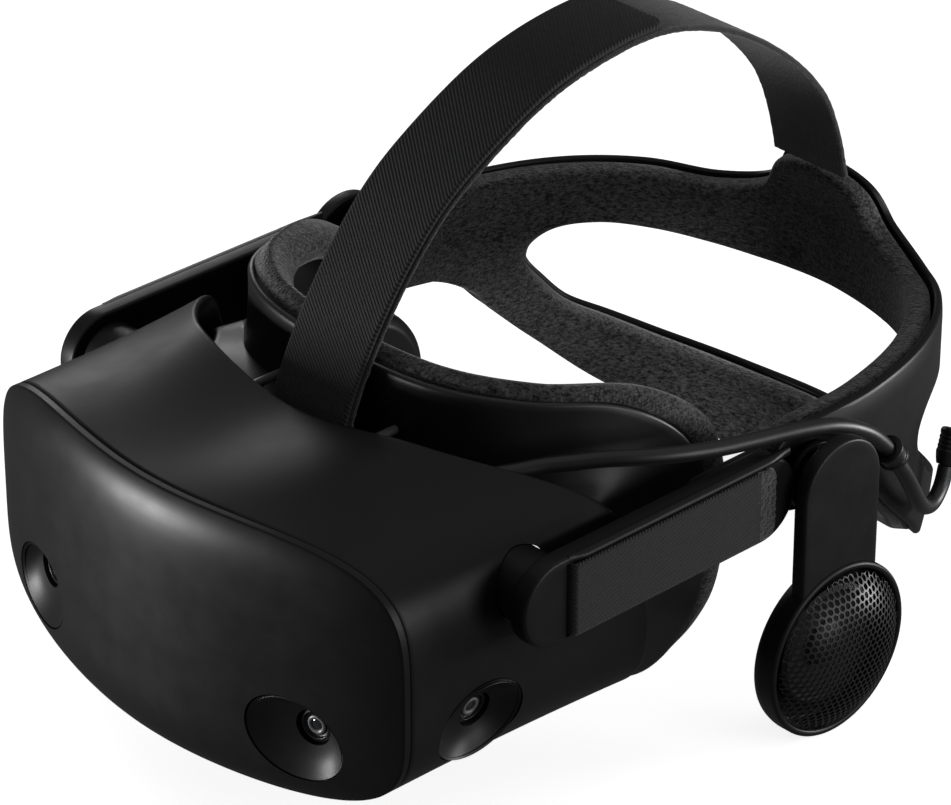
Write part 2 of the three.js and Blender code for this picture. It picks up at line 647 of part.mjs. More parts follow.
function makeSpeakers() {
  const base = HALO_A + 2 * GAP;
  const face = base + 2.2;
  const [r, lip] = [DRUM_R, 2.5];
  const cup = [[0, 0], [r - 2, 0], [r, 2], [r, DRUM_T], [r - lip, DRUM_T], [r - lip, lip], [0, lip]];
  const driver = [[0, 0], [18, 0], [18, 3], [10, 4.5], [0, 4.5]];
  const g = DRUM_R - lip - GAP;
  const dome = [[0, DOME_H - 1.2], [g * 0.55, DOME_H - 1.8], [g * 0.85, 0], [g, -1], [g, 0.4],
    [g * 0.88, 1.4], [g * 0.8, 4.5], [g * 0.55, DOME_H - 0.6], [0, DOME_H]];
  for (const [side, s] of SIDES) {
    const out = [s, 0, 0];
    const pivot = (x) => [s * x, SPEAKER_Y, PIVOT_Z];
    const drum = (x) => [s * x, SPEAKER_Y, DRUM_Z];
    addPiece(`speaker_mount_${side}`, rod(pivot(base), pivot(face), 11), SHELL);
    addPiece(`speaker_pivot_${side}`, rod(pivot(face + GAP), pivot(SPEAKER_ARM_X - GAP), 9), TRIM);
    const x = s > 0 ? SPEAKER_ARM_X : -SPEAKER_ARM_X - SPEAKER_ARM_T;
    addPiece(`speaker_arm_${side}`, sidePlate(speakerArmShape(), x, SPEAKER_ARM_T), SHELL);
    addPiece(`speaker_drum_${side}`, turning(cup, drum(DRUM_X), out, 28), SHELL);
    addPiece(`speaker_driver_${side}`, turning(driver, drum(DRUM_X + lip + GAP), out, 18), METAL);
    addPiece(`speaker_grille_${side}`, turning(dome, drum(DRUM_X + DRUM_T), out, 26), MESH);
  }
}

// ---- Lead ----
// It leaves the visor between shell and gasket, passes over the left arm and speaker, and turns
// up again in a small bend on the halo, where it ends in its connector.
const LEAD_ROUTE = new THREE.CatmullRomCurve3([
  [56, 2, 21], [61, 9, 22], [66, 17.5, 22.6], [70, 25, 23.2], [75, 32, 23.6], [79.9, 38.8, 24],
  [84.5, 45.3, 23.8], [88.2, 52, 23.2], [91.5, 60, 22.3], [94.5, 71, 20.9], [97, 82, 20],
  [99, 93, 19], [100.3, 103, 17.4], [101.2, 112, 15.2], [101.7, 120, 11.8], [102, 128, 6.7],
  [101.9, 135, 0], [101.5, 141, -7.5], [100.7, 147, -15.8], [99.2, 152.6, -24], [97.2, 158, -31.2],
  [95, 163.5, -36], [92.8, 169.5, -37.8], [91, 175, -35], [90, 178, -29.5],
].map(vec));

const onLead = (share, past = 0) =>
  LEAD_ROUTE.getPointAt(share).addScaledVector(LEAD_ROUTE.getTangentAt(share), past).toArray();

function makeLead() {
  const section = new THREE.Shape();
  section.absarc(0, 0, LEAD_R, 0, 2 * PI);
  const tube = new THREE.ExtrudeGeometry(section,
    { extrudePath: LEAD_ROUTE, steps: 40, curveSegments: 5, bevelEnabled: false });
  addPiece("lead", tube, CORD);
  addPiece("lead_boot", rod(onLead(0, -BOOT_L), onLead(0, -GAP), 3.6, 14, 3), TRIM);
  addPiece("lead_connector", rod(onLead(1, GAP), onLead(1, 12), 3.6, 14, 4.2), TRIM);
  const [bore, outer] = [LEAD_R + GAP, LEAD_R + 2.2];
  const ring = [[bore, -3], [outer, -3], [outer, 3], [bore, 3], [bore, -3]];
  const along = LEAD_ROUTE.getTangentAt(CLIP_AT).toArray();
  addPiece("lead_clip", turning(ring, onLead(CLIP_AT), along, 16), TRIM);
}

makeFaceplate();
makeRim();
makeShell();
makeCameras();
makeHubs();
makeInnerFrame();
makeOptics();
makeKnobAndButtons();
makeGasket();
makeArms();
makeSideStraps();
makeHalo();
makeTopStrap();
makeSpeakers();
makeLead();

export default headset;
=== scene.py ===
from math import cos, hypot, pi, radians, sin

import bmesh
import bpy
import numpy as np
from mathutils import Matrix, Vector, noise


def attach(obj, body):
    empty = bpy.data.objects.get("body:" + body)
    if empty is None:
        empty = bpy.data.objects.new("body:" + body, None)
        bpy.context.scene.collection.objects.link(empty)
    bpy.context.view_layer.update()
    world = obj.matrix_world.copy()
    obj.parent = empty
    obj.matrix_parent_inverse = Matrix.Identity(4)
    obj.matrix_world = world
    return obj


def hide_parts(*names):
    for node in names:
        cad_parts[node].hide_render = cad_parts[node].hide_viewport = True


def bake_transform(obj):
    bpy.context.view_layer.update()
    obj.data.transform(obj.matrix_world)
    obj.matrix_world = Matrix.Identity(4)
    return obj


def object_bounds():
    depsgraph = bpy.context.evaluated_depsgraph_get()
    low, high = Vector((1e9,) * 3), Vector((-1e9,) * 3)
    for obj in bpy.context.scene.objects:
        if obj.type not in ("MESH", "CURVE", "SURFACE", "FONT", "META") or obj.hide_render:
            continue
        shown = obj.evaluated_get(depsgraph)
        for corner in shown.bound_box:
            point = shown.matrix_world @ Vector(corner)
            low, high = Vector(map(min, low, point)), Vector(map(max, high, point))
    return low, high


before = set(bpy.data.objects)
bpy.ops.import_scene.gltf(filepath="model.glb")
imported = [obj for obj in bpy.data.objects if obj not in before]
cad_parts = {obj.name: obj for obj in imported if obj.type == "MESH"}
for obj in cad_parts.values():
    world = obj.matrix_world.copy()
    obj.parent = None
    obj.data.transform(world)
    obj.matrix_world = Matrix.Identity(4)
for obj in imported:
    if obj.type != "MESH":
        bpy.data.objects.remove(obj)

CAD_BOX = [list(corner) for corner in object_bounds()]

# Every length below is in millimetres, in the frame's axes: -Y is the front of the visor,
# +X the wearer's left and +Z up. Meshes are scaled to metres when they are made.
MM = 0.001
SIDES = (("left", 1), ("right", -1))

# ---- Camera ----
AZIMUTH = radians(46.8)
ELEVATION = radians(29.5)
CAMERA_RIGHT = np.array([cos(AZIMUTH), sin(AZIMUTH), 0])
CAMERA_BACK = np.array([sin(AZIMUTH) * cos(ELEVATION), -cos(AZIMUTH) * cos(ELEVATION), sin(ELEVATION)])
CAMERA_UP = np.cross(CAMERA_BACK, CAMERA_RIGHT)
LOOK_AT = 46.7 * CAMERA_RIGHT + 21.5 * CAMERA_UP
CAMERA_DISTANCE = 1421.4


def make_camera():
    data = bpy.data.cameras.new("camera")
    data.lens = 182.8
    data.sensor_width = 36
    data.clip_start = 0.05
    camera = bpy.data.objects.new("camera", data)
    bpy.context.scene.collection.objects.link(camera)
    place = (LOOK_AT + CAMERA_BACK * CAMERA_DISTANCE) * MM
    axes = Matrix([CAMERA_RIGHT, CAMERA_UP, CAMERA_BACK]).transposed().to_4x4()
    camera.matrix_world = Matrix.Translation(Vector(place)) @ axes
    bpy.context.scene.camera = camera


# ---- Dimensions shared with the CAD model ----
GAP = 0.3
FACE_HALF, FACE_TOP, FACE_BOTTOM, FACE_MID = 89.4, 26, -60, -22
FACE_Y, FACE_WRAP, FACE_BOW, FACE_EDGE = -69.8, 18.8, 53, 4
TOP_CORNERS, BOTTOM_CORNERS = 4.4, 4.1
WALL, RIM = 2.4, 3
HUB_Z, BOSS_R, BOSS_L, BOSS_BORE = 2, 11, 15.5, 5.3
ARM_X, ARM_T, ARM_H, ARM_END = 103, 6.5, 28, 96
STRAP_W, STRAP_T, STRAP_END, TAB_L = 23.5, 1.8, 85.5, 7.5
PLATE_T, PLATE_FRONT, PLATE_REAR, PLATE_HALF = 3, 58, 91.4, 12.5
HALO_A, HALO_B, HALO_Y, HALO_SHELL, HALO_PAD, HALO_ROUND = 97, 112, 114, 2.5, 11, 0.92
STRETCH = 1.9
SPEAKER_Y, PIVOT_Z, MOUNT_R, MOUNT_T = 108.5, -1, 11, 2.2
SPEAKER_ARM_X, SPEAKER_ARM_T, SPEAKER_ARM_R = 105.5, 5, 16
DRUM_R, DRUM_Z, DRUM_X, DRUM_T, DOME_H = 28.5, -56.5, 100.5, 10.5, 8
TOP_STRAP_W, TOP_STRAP_T, FOLD_END = 31, 2.2, 0.58
BAR_X, BAR_Y, BAR_Z, BAR_R = 24, -1, 16, 1.6
LEG_R, LEG_L, PEG_R, PEG_L, PEG_Y, PEG_Z = 1.3, 6, 1.4, 22, -12, 22
LEAD_R = 2.5
DISH_R, DISH_STRETCH, DISH_DEEP, CAMERA_R = 13, 1.25, 5, 5.5
DISH_TILT, DISH_YAW, SIDE_TILT = radians(12), radians(15), radians(12)
FRONT_CAMERA, FRONT_SHIFT = (56.7, -60.4, -38), (3.3, 3.1)
SIDE_CAMERA, SIDE_SHIFT = (87.4, -16.3, -37.1), (2.6, -0.7)
IPD, EYE_Z, LENS_Y, LENS_R, BARREL_R, BARREL_L = 64, -17, -0.7, 23, 26, 42
LENS_FRONT, LENS_FALL = 5.9, 2.94

# ---- Curves ----
def cubic(points, at, closed):
    """Points of a centripetal spline at shares 0 to 1 of its control points, as the CAD model has it."""
    p = np.array(points, float)
    count = len(p)
    place = np.asarray(at, float) * (count if closed else count - 1)
    first = np.floor(place).astype(int)
    if closed:
        corners = [p[(first + k) % count] for k in (-1, 0, 1, 2)]
    else:
        first = np.minimum(first, count - 2)
        padded = np.vstack([2 * p[0] - p[1], p, 2 * p[-1] - p[-2]])
        corners = [padded[first + k] for k in range(4)]
    w = (place - first)[:, None]
    a, b, c, d = corners
    gaps = [np.linalg.norm(q - r, axis=1)[:, None] ** 0.5 for q, r in ((b, a), (c, b), (d, c))]
    g0, g1, g2 = [np.maximum(g, 1e-3) for g in gaps]
    t1 = ((b - a) / g0 - (c - a) / (g0 + g1) + (c - b) / g1) * g1
    t2 = ((c - b) / g1 - (d - b) / (g1 + g2) + (d - c) / g2) * g1
    return b + w * (t1 + w * (-3 * b + 3 * c - 2 * t1 - t2 + w * (2 * b - 2 * c + t1 + t2)))


def mirrored(points):
    inner = [(-p[0], *p[1:]) for p in reversed(points[1:-1])]
    return list(points) + inner


def evenly(line, count, start=0.0, end=1.0):
    """count points at even steps along a dense polyline, from one share of its length to another."""
    steps = np.linalg.norm(np.diff(line, axis=0), axis=1)
    run = np.concatenate([[0], np.cumsum(steps)])
    at = np.linspace(start, end, count) * run[-1]
    return np.stack([np.interp(at, run, line[:, k]) for k in range(line.shape[1])], 1)


def tangents(line, closed=False):
    if closed:
        t = np.roll(line, -1, 0) - np.roll(line, 1, 0)
    else:
        t = np.gradient(line, axis=0)
    return t / np.linalg.norm(t, axis=-1, keepdims=True)


def inward(p, distance, middle=FACE_MID):
    """Moves points towards the visor's long axis."""
    q = np.array(p, float)
    reach = np.hypot(q[..., 0], q[..., 2] - middle)
    share = 1 - distance / reach
    q[..., 0] *= share
    q[..., 2] = middle + (q[..., 2] - middle) * share
    return q


def blend_points(p, q, t):
    return p + (q - p) * t


# ---- Mesh helpers ----
CORNER_STEPS = 4


def grid_faces(rows, columns, wrap_rows=False, wrap_columns=False):
    last_row = rows if wrap_rows else rows - 1
    last_column = columns if wrap_columns else columns - 1
    i, j = np.meshgrid(np.arange(last_row), np.arange(last_column), indexing="ij")
    i, j = i.ravel(), j.ravel()
    k, m = (i + 1) % rows, (j + 1) % columns
    return np.stack([i * columns + j, k * columns + j, k * columns + m, i * columns + m], 1).tolist()


def capped_faces(rows, columns):
    """Faces over a pile of closed rings, with the first and the last ring filled."""
    faces = grid_faces(rows, columns, False, True)
    faces.append(list(range(columns)))
    faces.append(list(range((rows - 1) * columns, rows * columns)))
    return faces


def make_mesh(name, points, faces, uv=None, crease=35):
    mesh = bpy.data.meshes.new(name)
    mesh.from_pydata((np.asarray(points, float).reshape(-1, 3) * MM).tolist(), [], faces)
    if uv is not None:
        layer = mesh.uv_layers.new(name="UVMap")
        corner = np.zeros(len(mesh.loops), int)
        mesh.loops.foreach_get("vertex_index", corner)
        layer.data.foreach_set("uv", (np.asarray(uv, float).reshape(-1, 2)[corner] * MM).ravel())
    tidy = bmesh.new()
    tidy.from_mesh(mesh)
    bmesh.ops.remove_doubles(tidy, verts=tidy.verts, dist=1e-6)
    bmesh.ops.recalc_face_normals(tidy, faces=tidy.faces)
    tidy.to_mesh(mesh)
    tidy.free()
    shade(mesh, crease)
    obj = bpy.data.objects.new(name, mesh)
    bpy.context.scene.collection.objects.link(obj)
    return obj


def shade(mesh, crease=35):
    mesh.shade_smooth()
    mesh.set_sharp_from_angle(angle=radians(crease))


def place(obj, body, slot, look, *nodes):
    """Puts a finished piece on its body, with its material, in place of CAD nodes. The slot argument is not
    used.
    """
    obj.data.materials.clear()
    obj.data.materials.append(LOOKS[look])
    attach(obj, body)
    if nodes:
        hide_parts(*nodes)
    return obj


def apply_modifiers(obj):
    bpy.context.view_layer.update()
    evaluated = obj.evaluated_get(bpy.context.evaluated_depsgraph_get())
    mesh = bpy.data.meshes.new_from_object(evaluated)
    old = obj.data
    obj.modifiers.clear()
    obj.data = mesh
    bpy.data.meshes.remove(old)


def cut(obj, *tools, crease=35):
    for tool in tools:
        boolean = obj.modifiers.new("cut", "BOOLEAN")
        boolean.operation = "DIFFERENCE"
        boolean.solver = "EXACT"
        boolean.object = tool
    apply_modifiers(obj)
    for tool in tools:
        bpy.data.objects.remove(tool)
    shade(obj.data, crease)
    return obj


def rounded_ends(outer, inner, steps=4):
    """Closed profiles from rows of outer and inner points, with both ends turned as half circles."""
    def turn(p, before, q):
        middle, half = (p + q) / 2, (p - q) / 2
        ahead = p - before
        ahead = ahead / np.linalg.norm(ahead, axis=-1, keepdims=True)
        reach = np.linalg.norm(half, axis=-1, keepdims=True)
        angles = np.linspace(0, pi, steps + 2)[1:-1]
        return [middle + half * cos(a) + ahead * reach * sin(a) for a in angles]
    rows = [outer[:, k] for k in range(outer.shape[1])]
    rows += turn(outer[:, -1], outer[:, -2], inner[:, -1])
    rows += [inner[:, k] for k in range(inner.shape[1] - 1, -1, -1)]
    rows += turn(inner[:, 0], inner[:, 1], outer[:, 0])
    return np.stack(rows, 1)


def hoop(name, sections, crease=35):
    n, m = sections.shape[:2]
    return make_mesh(name, sections, grid_faces(n, m, True, True), crease=crease)


def frame_on(axis):
    along = Vector(axis).normalized()
    across = along.orthogonal().normalized()
    return np.array(across), np.array(along.cross(across)), np.array(along)


def lathe(name, profile, start, axis, sides=72):
    """A body turned from (radius, distance) points about an axis that starts at a point."""
    u, v, w = frame_on(axis)
    turn = np.linspace(0, 2 * pi, sides, endpoint=False)
    ring = np.cos(turn)[:, None] * u + np.sin(turn)[:, None] * v
    p = np.array(profile, float)
    points = np.array(start) + p[None, :, :1] * ring[:, None] + p[None, :, 1:] * w
    return make_mesh(name, points, grid_faces(sides, len(p), True, False), crease=30)


def rounded_profile(corners, radius=0.6):
    """A profile whose inner corners are rounded; its two end points stay."""
    p = [np.array(c, float) for c in corners]
    out = [p[0]]
    for before, here, after in zip(p, p[1:], p[2:]):
        a, b = before - here, after - here
        reach = min(radius, 0.45 * np.linalg.norm(a), 0.45 * np.linalg.norm(b))
        start = here + a / np.linalg.norm(a) * reach
        end = here + b / np.linalg.norm(b) * reach
        for t in np.linspace(0, 1, CORNER_STEPS + 1):
            out.append((1 - t) ** 2 * start + 2 * t * (1 - t) * here + t * t * end)
    out.append(p[-1])
    return out


def offset_outline(outline, distance):
    """A closed, convex, dense outline moved inwards; its points run anticlockwise."""
    t = tangents(outline, closed=True)
    return outline + np.stack([-t[:, 1], t[:, 0]], 1) * distance


def plate(name, outline, low, high, edge=0.8, axis=0, steps=4):
    """A plate with rounded edges, drawn across one axis from low to high."""
    angles = np.linspace(0, pi / 2, steps + 1)
    rows = []
    insets = [edge * 3] + [edge * (1 - sin(a)) for a in angles]
    depths = [0.0] + [edge * (1 - cos(a)) for a in angles]
    for inset, depth in zip(insets, depths):
        rows.append((offset_outline(outline, inset), low + depth))
    for inset, depth in reversed(list(zip(insets, depths))):
        rows.append((offset_outline(outline, inset), high - depth))
    points = np.zeros((len(rows), len(outline), 3))
    others = [k for k in range(3) if k != axis]
    for i, (ring, height) in enumerate(rows):
        points[i][:, others] = ring
        points[i][:, axis] = height
    return make_mesh(name, points, capped_faces(len(rows), len(outline)), crease=30)


def rounded_rect(low, high, radius, arc=10, straight=6):
    """A dense anticlockwise outline of a rectangle with rounded corners."""
    (x0, y0), (x1, y1) = low, high
    corners = [(x1 - radius, y0 + radius, -90), (x1 - radius, y1 - radius, 0),
               (x0 + radius, y1 - radius, 90), (x0 + radius, y0 + radius, 180)]
    points = []
    for x, y, start in corners:
        for step in range(arc + 1):
            a = radians(start + 90 * step / arc)
            points.append((x + radius * cos(a), y + radius * sin(a)))
    line = np.array(points + points[:1])
    return evenly(line, (arc + straight) * 8 + 1)[:-1]


def tube(name, line, radius, cap):
    """A round tube along a line, with domed ends."""
    sides = 24
    t = tangents(line)
    u = np.cross(t, [0, 0, 1])
    u /= np.linalg.norm(u, axis=1, keepdims=True)
    v = np.cross(u, t)
    turn = np.linspace(0, 2 * pi, sides, endpoint=False)
    rings = [line[i] + radius * (np.cos(turn)[:, None] * u[i] + np.sin(turn)[:, None] * v[i])
             for i in range(len(line))]
    head = line[0] + (rings[0] - line[0]) * 0.7 - t[0] * cap
    tail = line[-1] + (rings[-1] - line[-1]) * 0.7 + t[-1] * cap
    rings = [head] + rings + [tail]
    return make_mesh(name, np.array(rings), capped_faces(len(rings), sides), crease=50)


# ---- Materials ----
class Shader:
    """A short way to wire a procedural material."""

    def __init__(self, name):
        self.material = bpy.data.materials.new(name)
        self.material.use_nodes = True
        self.tree = self.material.node_tree
        self.principled = self.tree.nodes["Principled BSDF"]

    def set(self, **values):
        for key, value in values.items():
            self.principled.inputs[key.replace("_", " ")].default_value = value
        return self

    def node(self, kind, inputs=(), **settings):
        node = self.tree.nodes.new("ShaderNode" + kind)
        for key, value in settings.items():
            setattr(node, key, value)
        for key, value in dict(inputs).items():
            if isinstance(value, bpy.types.NodeSocket):
                self.tree.links.new(value, node.inputs[key])
            else:
                node.inputs[key].default_value = value
        return node

    def math(self, operation, a, b=0.0, c=0.0):
        return self.node("Math", {0: a, 1: b, 2: c}, operation=operation).outputs[0]

    def coordinates(self, kind="Object"):
        return self.node("TexCoord").outputs[kind]

    def noise(self, scale, detail=2.0, roughness=0.5, vector=None):
        vector = vector or self.coordinates()
        inputs = {"Vector": vector, "Scale": scale, "Detail": detail, "Roughness": roughness}
        return self.node("TexNoise", inputs).outputs["Fac"]

    def spread(self, value, low, high, to_low=0.0, to_high=1.0):
        inputs = {"Value": value, "From Min": low, "From Max": high, "To Min": to_low, "To Max": to_high}
        return self.node("MapRange", inputs).outputs[0]

    def colour(self, share, dark, light):
        ramp = self.node("ValToRGB", {"Fac": share})
        ramp.color_ramp.elements[0].color = (*dark, 1)
        ramp.color_ramp.elements[1].color = (*light, 1)
        self.tree.links.new(ramp.outputs["Color"], self.principled.inputs["Base Color"])

    def rough(self, share, low, high):
        self.tree.links.new(self.spread(share, 0, 1, low, high), self.principled.inputs["Roughness"])

    def bump(self, height, depth_mm):
        inputs = {"Height": height, "Distance": depth_mm * MM, "Strength": 1.0}
        bump = self.node("Bump", inputs)
        self.tree.links.new(bump.outputs["Normal"], self.principled.inputs["Normal"])


GREY_BLUE = 1.04  # every grey leans this much to blue


def grey(value):
    return (value, value, value * GREY_BLUE)


def moulded(name, tone, roughness, gloss=0.5, grain=0.010):
    """Satin plastic: a fine spark-eroded grain, slow changes of tone, and faint handling marks."""
    s = Shader(name).set(Specular_IOR_Level=gloss)
    slow = s.noise(22, 2)
    s.colour(s.spread(slow, 0.3, 0.7), grey(tone * 0.88), grey(tone * 1.12))
    marks = s.noise(90, 4, 0.65)
    s.rough(s.spread(marks, 0.3, 0.7), roughness - 0.035, roughness + 0.035)
    fine = s.noise(2600, 1)
    s.bump(fine, grain)
    return s.material


def woven(name, tone, pitch, across, depth, angle):
    """Webbing with diagonal ribs: UV in metres, u along the strap and v across it."""
    s = Shader(name).set(Specular_IOR_Level=0.25, Sheen_Weight=0.15, Sheen_Roughness=0.5)
    uv = s.node("SeparateXYZ", {0: s.coordinates("UV")})
    u, v = uv.outputs[0], uv.outputs[1]
    slope = s.math("MULTIPLY_ADD", v, sin(angle), s.math("MULTIPLY", u, cos(angle)))
    rib = s.math("SINE", s.math("MULTIPLY", slope, 2 * pi / (pitch * MM)))
    stitch = s.math("SINE", s.math("MULTIPLY", v, 2 * pi / (across * MM)))
    crossed = s.math("MULTIPLY", stitch, 0.35)
    height = s.spread(s.math("ADD", rib, crossed), -1.35, 1.35)
    fuzz = s.math("MULTIPLY", s.noise(5200, 2), 0.35)
    height = s.math("ADD", height, fuzz)
    # Painted shade: the colour follows the rib height, so the grooves between ribs are painted dark and the
    # crests light; the fuzz noise is random fibre tone.
    s.colour(s.spread(height, 0.2, 1.1), grey(tone * 0.30), grey(tone * 1.55))
    s.rough(s.noise(400, 2), 0.72, 0.9)
    s.bump(height, depth)
    return s.material


def looped(name, tone):
    """Loop pile, the soft half of hook-and-loop tape."""
    s = Shader(name).set(Specular_IOR_Level=0.2, Sheen_Weight=0.5, Sheen_Roughness=0.5)
    loops = s.node("TexVoronoi", {"Vector": s.coordinates(), "Scale": 1500.0}).outputs["Distance"]
    tangle = s.noise(2400, 3, 0.7)
    height = s.math("ADD", s.math("MULTIPLY", loops, 0.6), tangle)
    patches = s.noise(160, 3)
    # Painted shade: the colour follows the pile height, so the hollows between loops are painted dark; the
    # patches are random tone in the pile.
    s.colour(s.math("MULTIPLY", s.spread(height, 0.35, 1.15), s.spread(patches, 0.2, 0.7, 0.6, 1.0)),
             grey(tone * 0.35), grey(tone * 2.2))
    s.rough(patches, 0.85, 0.95)
    s.bump(height, 0.45)
    return s.material


def heathered(name, dark, light):
    """Knitted heather fabric: pale fibres run through dark ones, mostly level."""
    s = Shader(name).set(Specular_IOR_Level=0.15, Sheen_Weight=0.35, Sheen_Roughness=0.45)
    place_at = s.coordinates()
    stretched = s.node("Mapping", {"Vector": place_at, "Scale": (0.55, 0.55, 1.3)}).outputs[0]
    fibres = s.noise(1150, 3, 0.75, stretched)
    second = s.noise(640, 2, 0.6, stretched)
    mixed = s.math("ADD", s.math("MULTIPLY", fibres, 0.7), s.math("MULTIPLY", second, 0.3))
    s.colour(s.spread(mixed, 0.40, 0.64), grey(dark), grey(light))
    s.rough(second, 0.85, 0.97)
    knit = s.node("TexVoronoi", {"Vector": place_at, "Scale": 1000.0}).outputs["Distance"]
    height = s.math("ADD", s.math("MULTIPLY", knit, 0.7), s.math("MULTIPLY", fibres, 0.8))
    s.bump(height, 0.35)
    return s.material


def brushed(name, tone, roughness):
    s = Shader(name).set(Metallic=1.0)
    drawn = s.node("Mapping", {"Vector": s.coordinates(), "Scale": (1.0, 8.0, 8.0)}).outputs[0]
    lines = s.noise(300, 4, 0.7, drawn)
    s.colour(s.spread(lines, 0.3, 0.7), grey(tone * 0.85), grey(tone))
    s.rough(lines, roughness, roughness + 0.15)
    s.bump(lines, 0.01)
    return s.material


def coated_glass(name, dark, light, roughness):
    s = Shader(name).set(Specular_IOR_Level=0.5, Coat_Weight=1.0, Coat_Roughness=0.03)
    s.colour(s.spread(s.noise(60, 1), 0.3, 0.7), dark, light)
    s.rough(s.noise(200, 2), roughness, roughness + 0.04)
    return s.material


def circuit_board(name):
    s = Shader(name).set(Specular_IOR_Level=0.5)
    cells = s.node("TexVoronoi", {"Vector": s.coordinates(), "Scale": 260.0}, distance="CHEBYCHEV")
    s.colour(s.spread(cells.outputs["Distance"], 0.1, 0.6), (0.004, 0.022, 0.012), (0.012, 0.07, 0.035))
    s.rough(s.noise(300, 2), 0.35, 0.55)
    s.bump(cells.outputs["Distance"], 0.15)
    return s.material


LOOKS = {
    "shell": moulded("satin_shell", 0.0055, 0.42, 0.26),
    "face": moulded("satin_face", 0.0055, 0.40, 0.26),
    # Painted highlight: the shroud's tone is set lighter than the trim's to stand in for a soft highlight on
    # the gasket frame.
    "shroud": moulded("satin_shroud_painted_highlight", 0.012, 0.40, 0.5),
    "trim": moulded("smooth_trim", 0.008, 0.36, 0.4, 0.004),
    "peg": moulded("bright_peg", 0.08, 0.3, 0.5, 0.004),
    "inner": moulded("matt_inner", 0.008, 0.6, 0.35),
    "rubber": moulded("lead_rubber", 0.012, 0.4, 0.5, 0.006),
    "ribbed": woven("ribbed_webbing", 0.017, 1.05, 0.8, 0.28, radians(38)),
    "twill": woven("twill_webbing", 0.012, 0.62, 0.55, 0.16, radians(60)),
    "loop": looped("loop_pile", 0.010),
    "heather": heathered("heather_knit", 0.006, 0.115),
    "grille": moulded("grille_paint", 0.008, 0.38, 0.4, 0.004),
    "steel": brushed("brushed_steel", 0.35, 0.3),
    "ring": moulded("camera_ring", 0.16, 0.35, 0.5, 0.004),
    "camera": coated_glass("camera_glass", (0.006, 0.007, 0.009), (0.014, 0.016, 0.02), 0.08),
    "lens": coated_glass("eye_glass", (0.02, 0.022, 0.03), (0.035, 0.04, 0.055), 0.04),
    "display": coated_glass("display_glass", (0.004, 0.004, 0.006), (0.008, 0.008, 0.012), 0.15),
    "board": circuit_board("board_green"),
}


# ---- The lead ----
LEAD_POINTS = [
    (56, 2, 21), (61, 9, 22), (66, 17.5, 22.6), (70, 25, 23.2), (75, 32, 23.6), (79.9, 38.8, 24),
    (84.5, 45.3, 23.8), (88.2, 52, 23.2), (91.5, 60, 22.3), (94.5, 71, 20.9), (97, 82, 20),
    (99, 93, 19), (100.3, 103, 17.4), (101.2, 112, 15.2), (101.7, 120, 11.8), (102, 128, 6.7),
    (101.9, 135, 0), (101.5, 141, -7.5), (100.7, 147, -15.8), (99.2, 152.6, -24), (97.2, 158, -31.2),
    (95, 163.5, -36), (92.8, 169.5, -37.8), (91, 175, -35), (90, 178, -29.5),
]
LEAD_LINE = cubic(LEAD_POINTS, np.linspace(0, 1, 1500), False)
CLIP_AT = 0.72


def at_share(line, share):
    return evenly(line, 2, share, 1.0)[0]


def make_lead():
    line = evenly(LEAD_LINE, 161)
    lead = tube("lead_sheath", line, LEAD_R, 0.2)
    lead.data.materials.append(LOOKS["rubber"])
    ahead = tangents(line)
    boot = lathe("lead_boot_fine", rounded_profile(
        [(0, -12), (3.6, -12), (3.55, -8), (3.1, -0.3), (0, -0.3)]), line[0], ahead[0])
    place(boot, "visor", "trim", "trim", "lead_boot")
    grips = [(4.1 - 0.3 * (k % 2), 4.6 + k * 0.7) for k in range(9)]
    connector = lathe("lead_connector_fine", rounded_profile(
        [(0, 0.3), (3.2, 0.3), (3.7, 2), (4.1, 4)] + grips + [(4.1, 11), (3.6, 11.8), (0, 12)], 0.3),
        line[-1], ahead[-1])
    place(connector, "headband", "trim", "trim", "lead_connector")
    spot = at_share(LEAD_LINE, CLIP_AT)
    after = at_share(LEAD_LINE, CLIP_AT + 0.01)
    clip = lathe("lead_clip_fine", rounded_profile(
        [(2.8, -3), (4.7, -3), (4.7, -1.6), (4.3, -1.3), (4.3, 1.3), (4.7, 1.6), (4.7, 3), (2.8, 3),
         (2.8, -3)], 0.35), spot, after - spot)
    place(clip, "headband", "trim", "trim", "lead_clip")
    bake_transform(lead)
    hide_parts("lead")


# ---- Visor ----
AROUND = 288


def corners_power(upper):
    return np.where(upper, TOP_CORNERS, BOTTOM_CORNERS)


def face_outline(angle):
    c, s = np.cos(angle), np.sin(angle)
    power = corners_power(s > 0)
    reach = (np.abs(c) ** power + np.abs(s) ** power) ** (-1 / power)
    height = np.where(s > 0, FACE_TOP - FACE_MID, FACE_MID - FACE_BOTTOM)
    return FACE_HALF * reach * c, FACE_MID + height * reach * s


def wrap(x):
    """How far the faceplate falls back at a distance from the centre line."""
    edge = hypot(FACE_HALF, FACE_BOW) - FACE_BOW
    return FACE_WRAP * (np.hypot(x, FACE_BOW) - FACE_BOW) / edge


def face_point(angle, share, depth):
    x, z = face_outline(angle)
    x, z = x * share, FACE_MID + (z - FACE_MID) * share
    return np.stack([x, FACE_Y + wrap(x) + FACE_EDGE * share ** 8 + depth, z], -1)


def face_depth(x, z):
    """Y of the faceplate's outer face at a point of its outline plane."""
    power = corners_power(z > FACE_MID)
    height = np.where(z > FACE_MID, FACE_TOP - FACE_MID, FACE_MID - FACE_BOTTOM)
    share = ((np.abs(x) / FACE_HALF) ** power + (np.abs(z - FACE_MID) / height) ** power) ** (1 / power)
    return FACE_Y + wrap(x) + FACE_EDGE * share ** 8


SHELL_REAR = mirrored([
    (0, 24, -48), (30, 34, -57), (60, 50, -66), (82, 53.5, -53), (88, 51, -22),
    (90.5, 42, -5), (87.5, 35, 12.5), (50, -1.7, 31.6), (0, -9.7, 27.9),
])
AROUND_TURN = np.linspace(0, 1, AROUND, endpoint=False)
AROUND_ANGLE = AROUND_TURN * 2 * pi - pi / 2


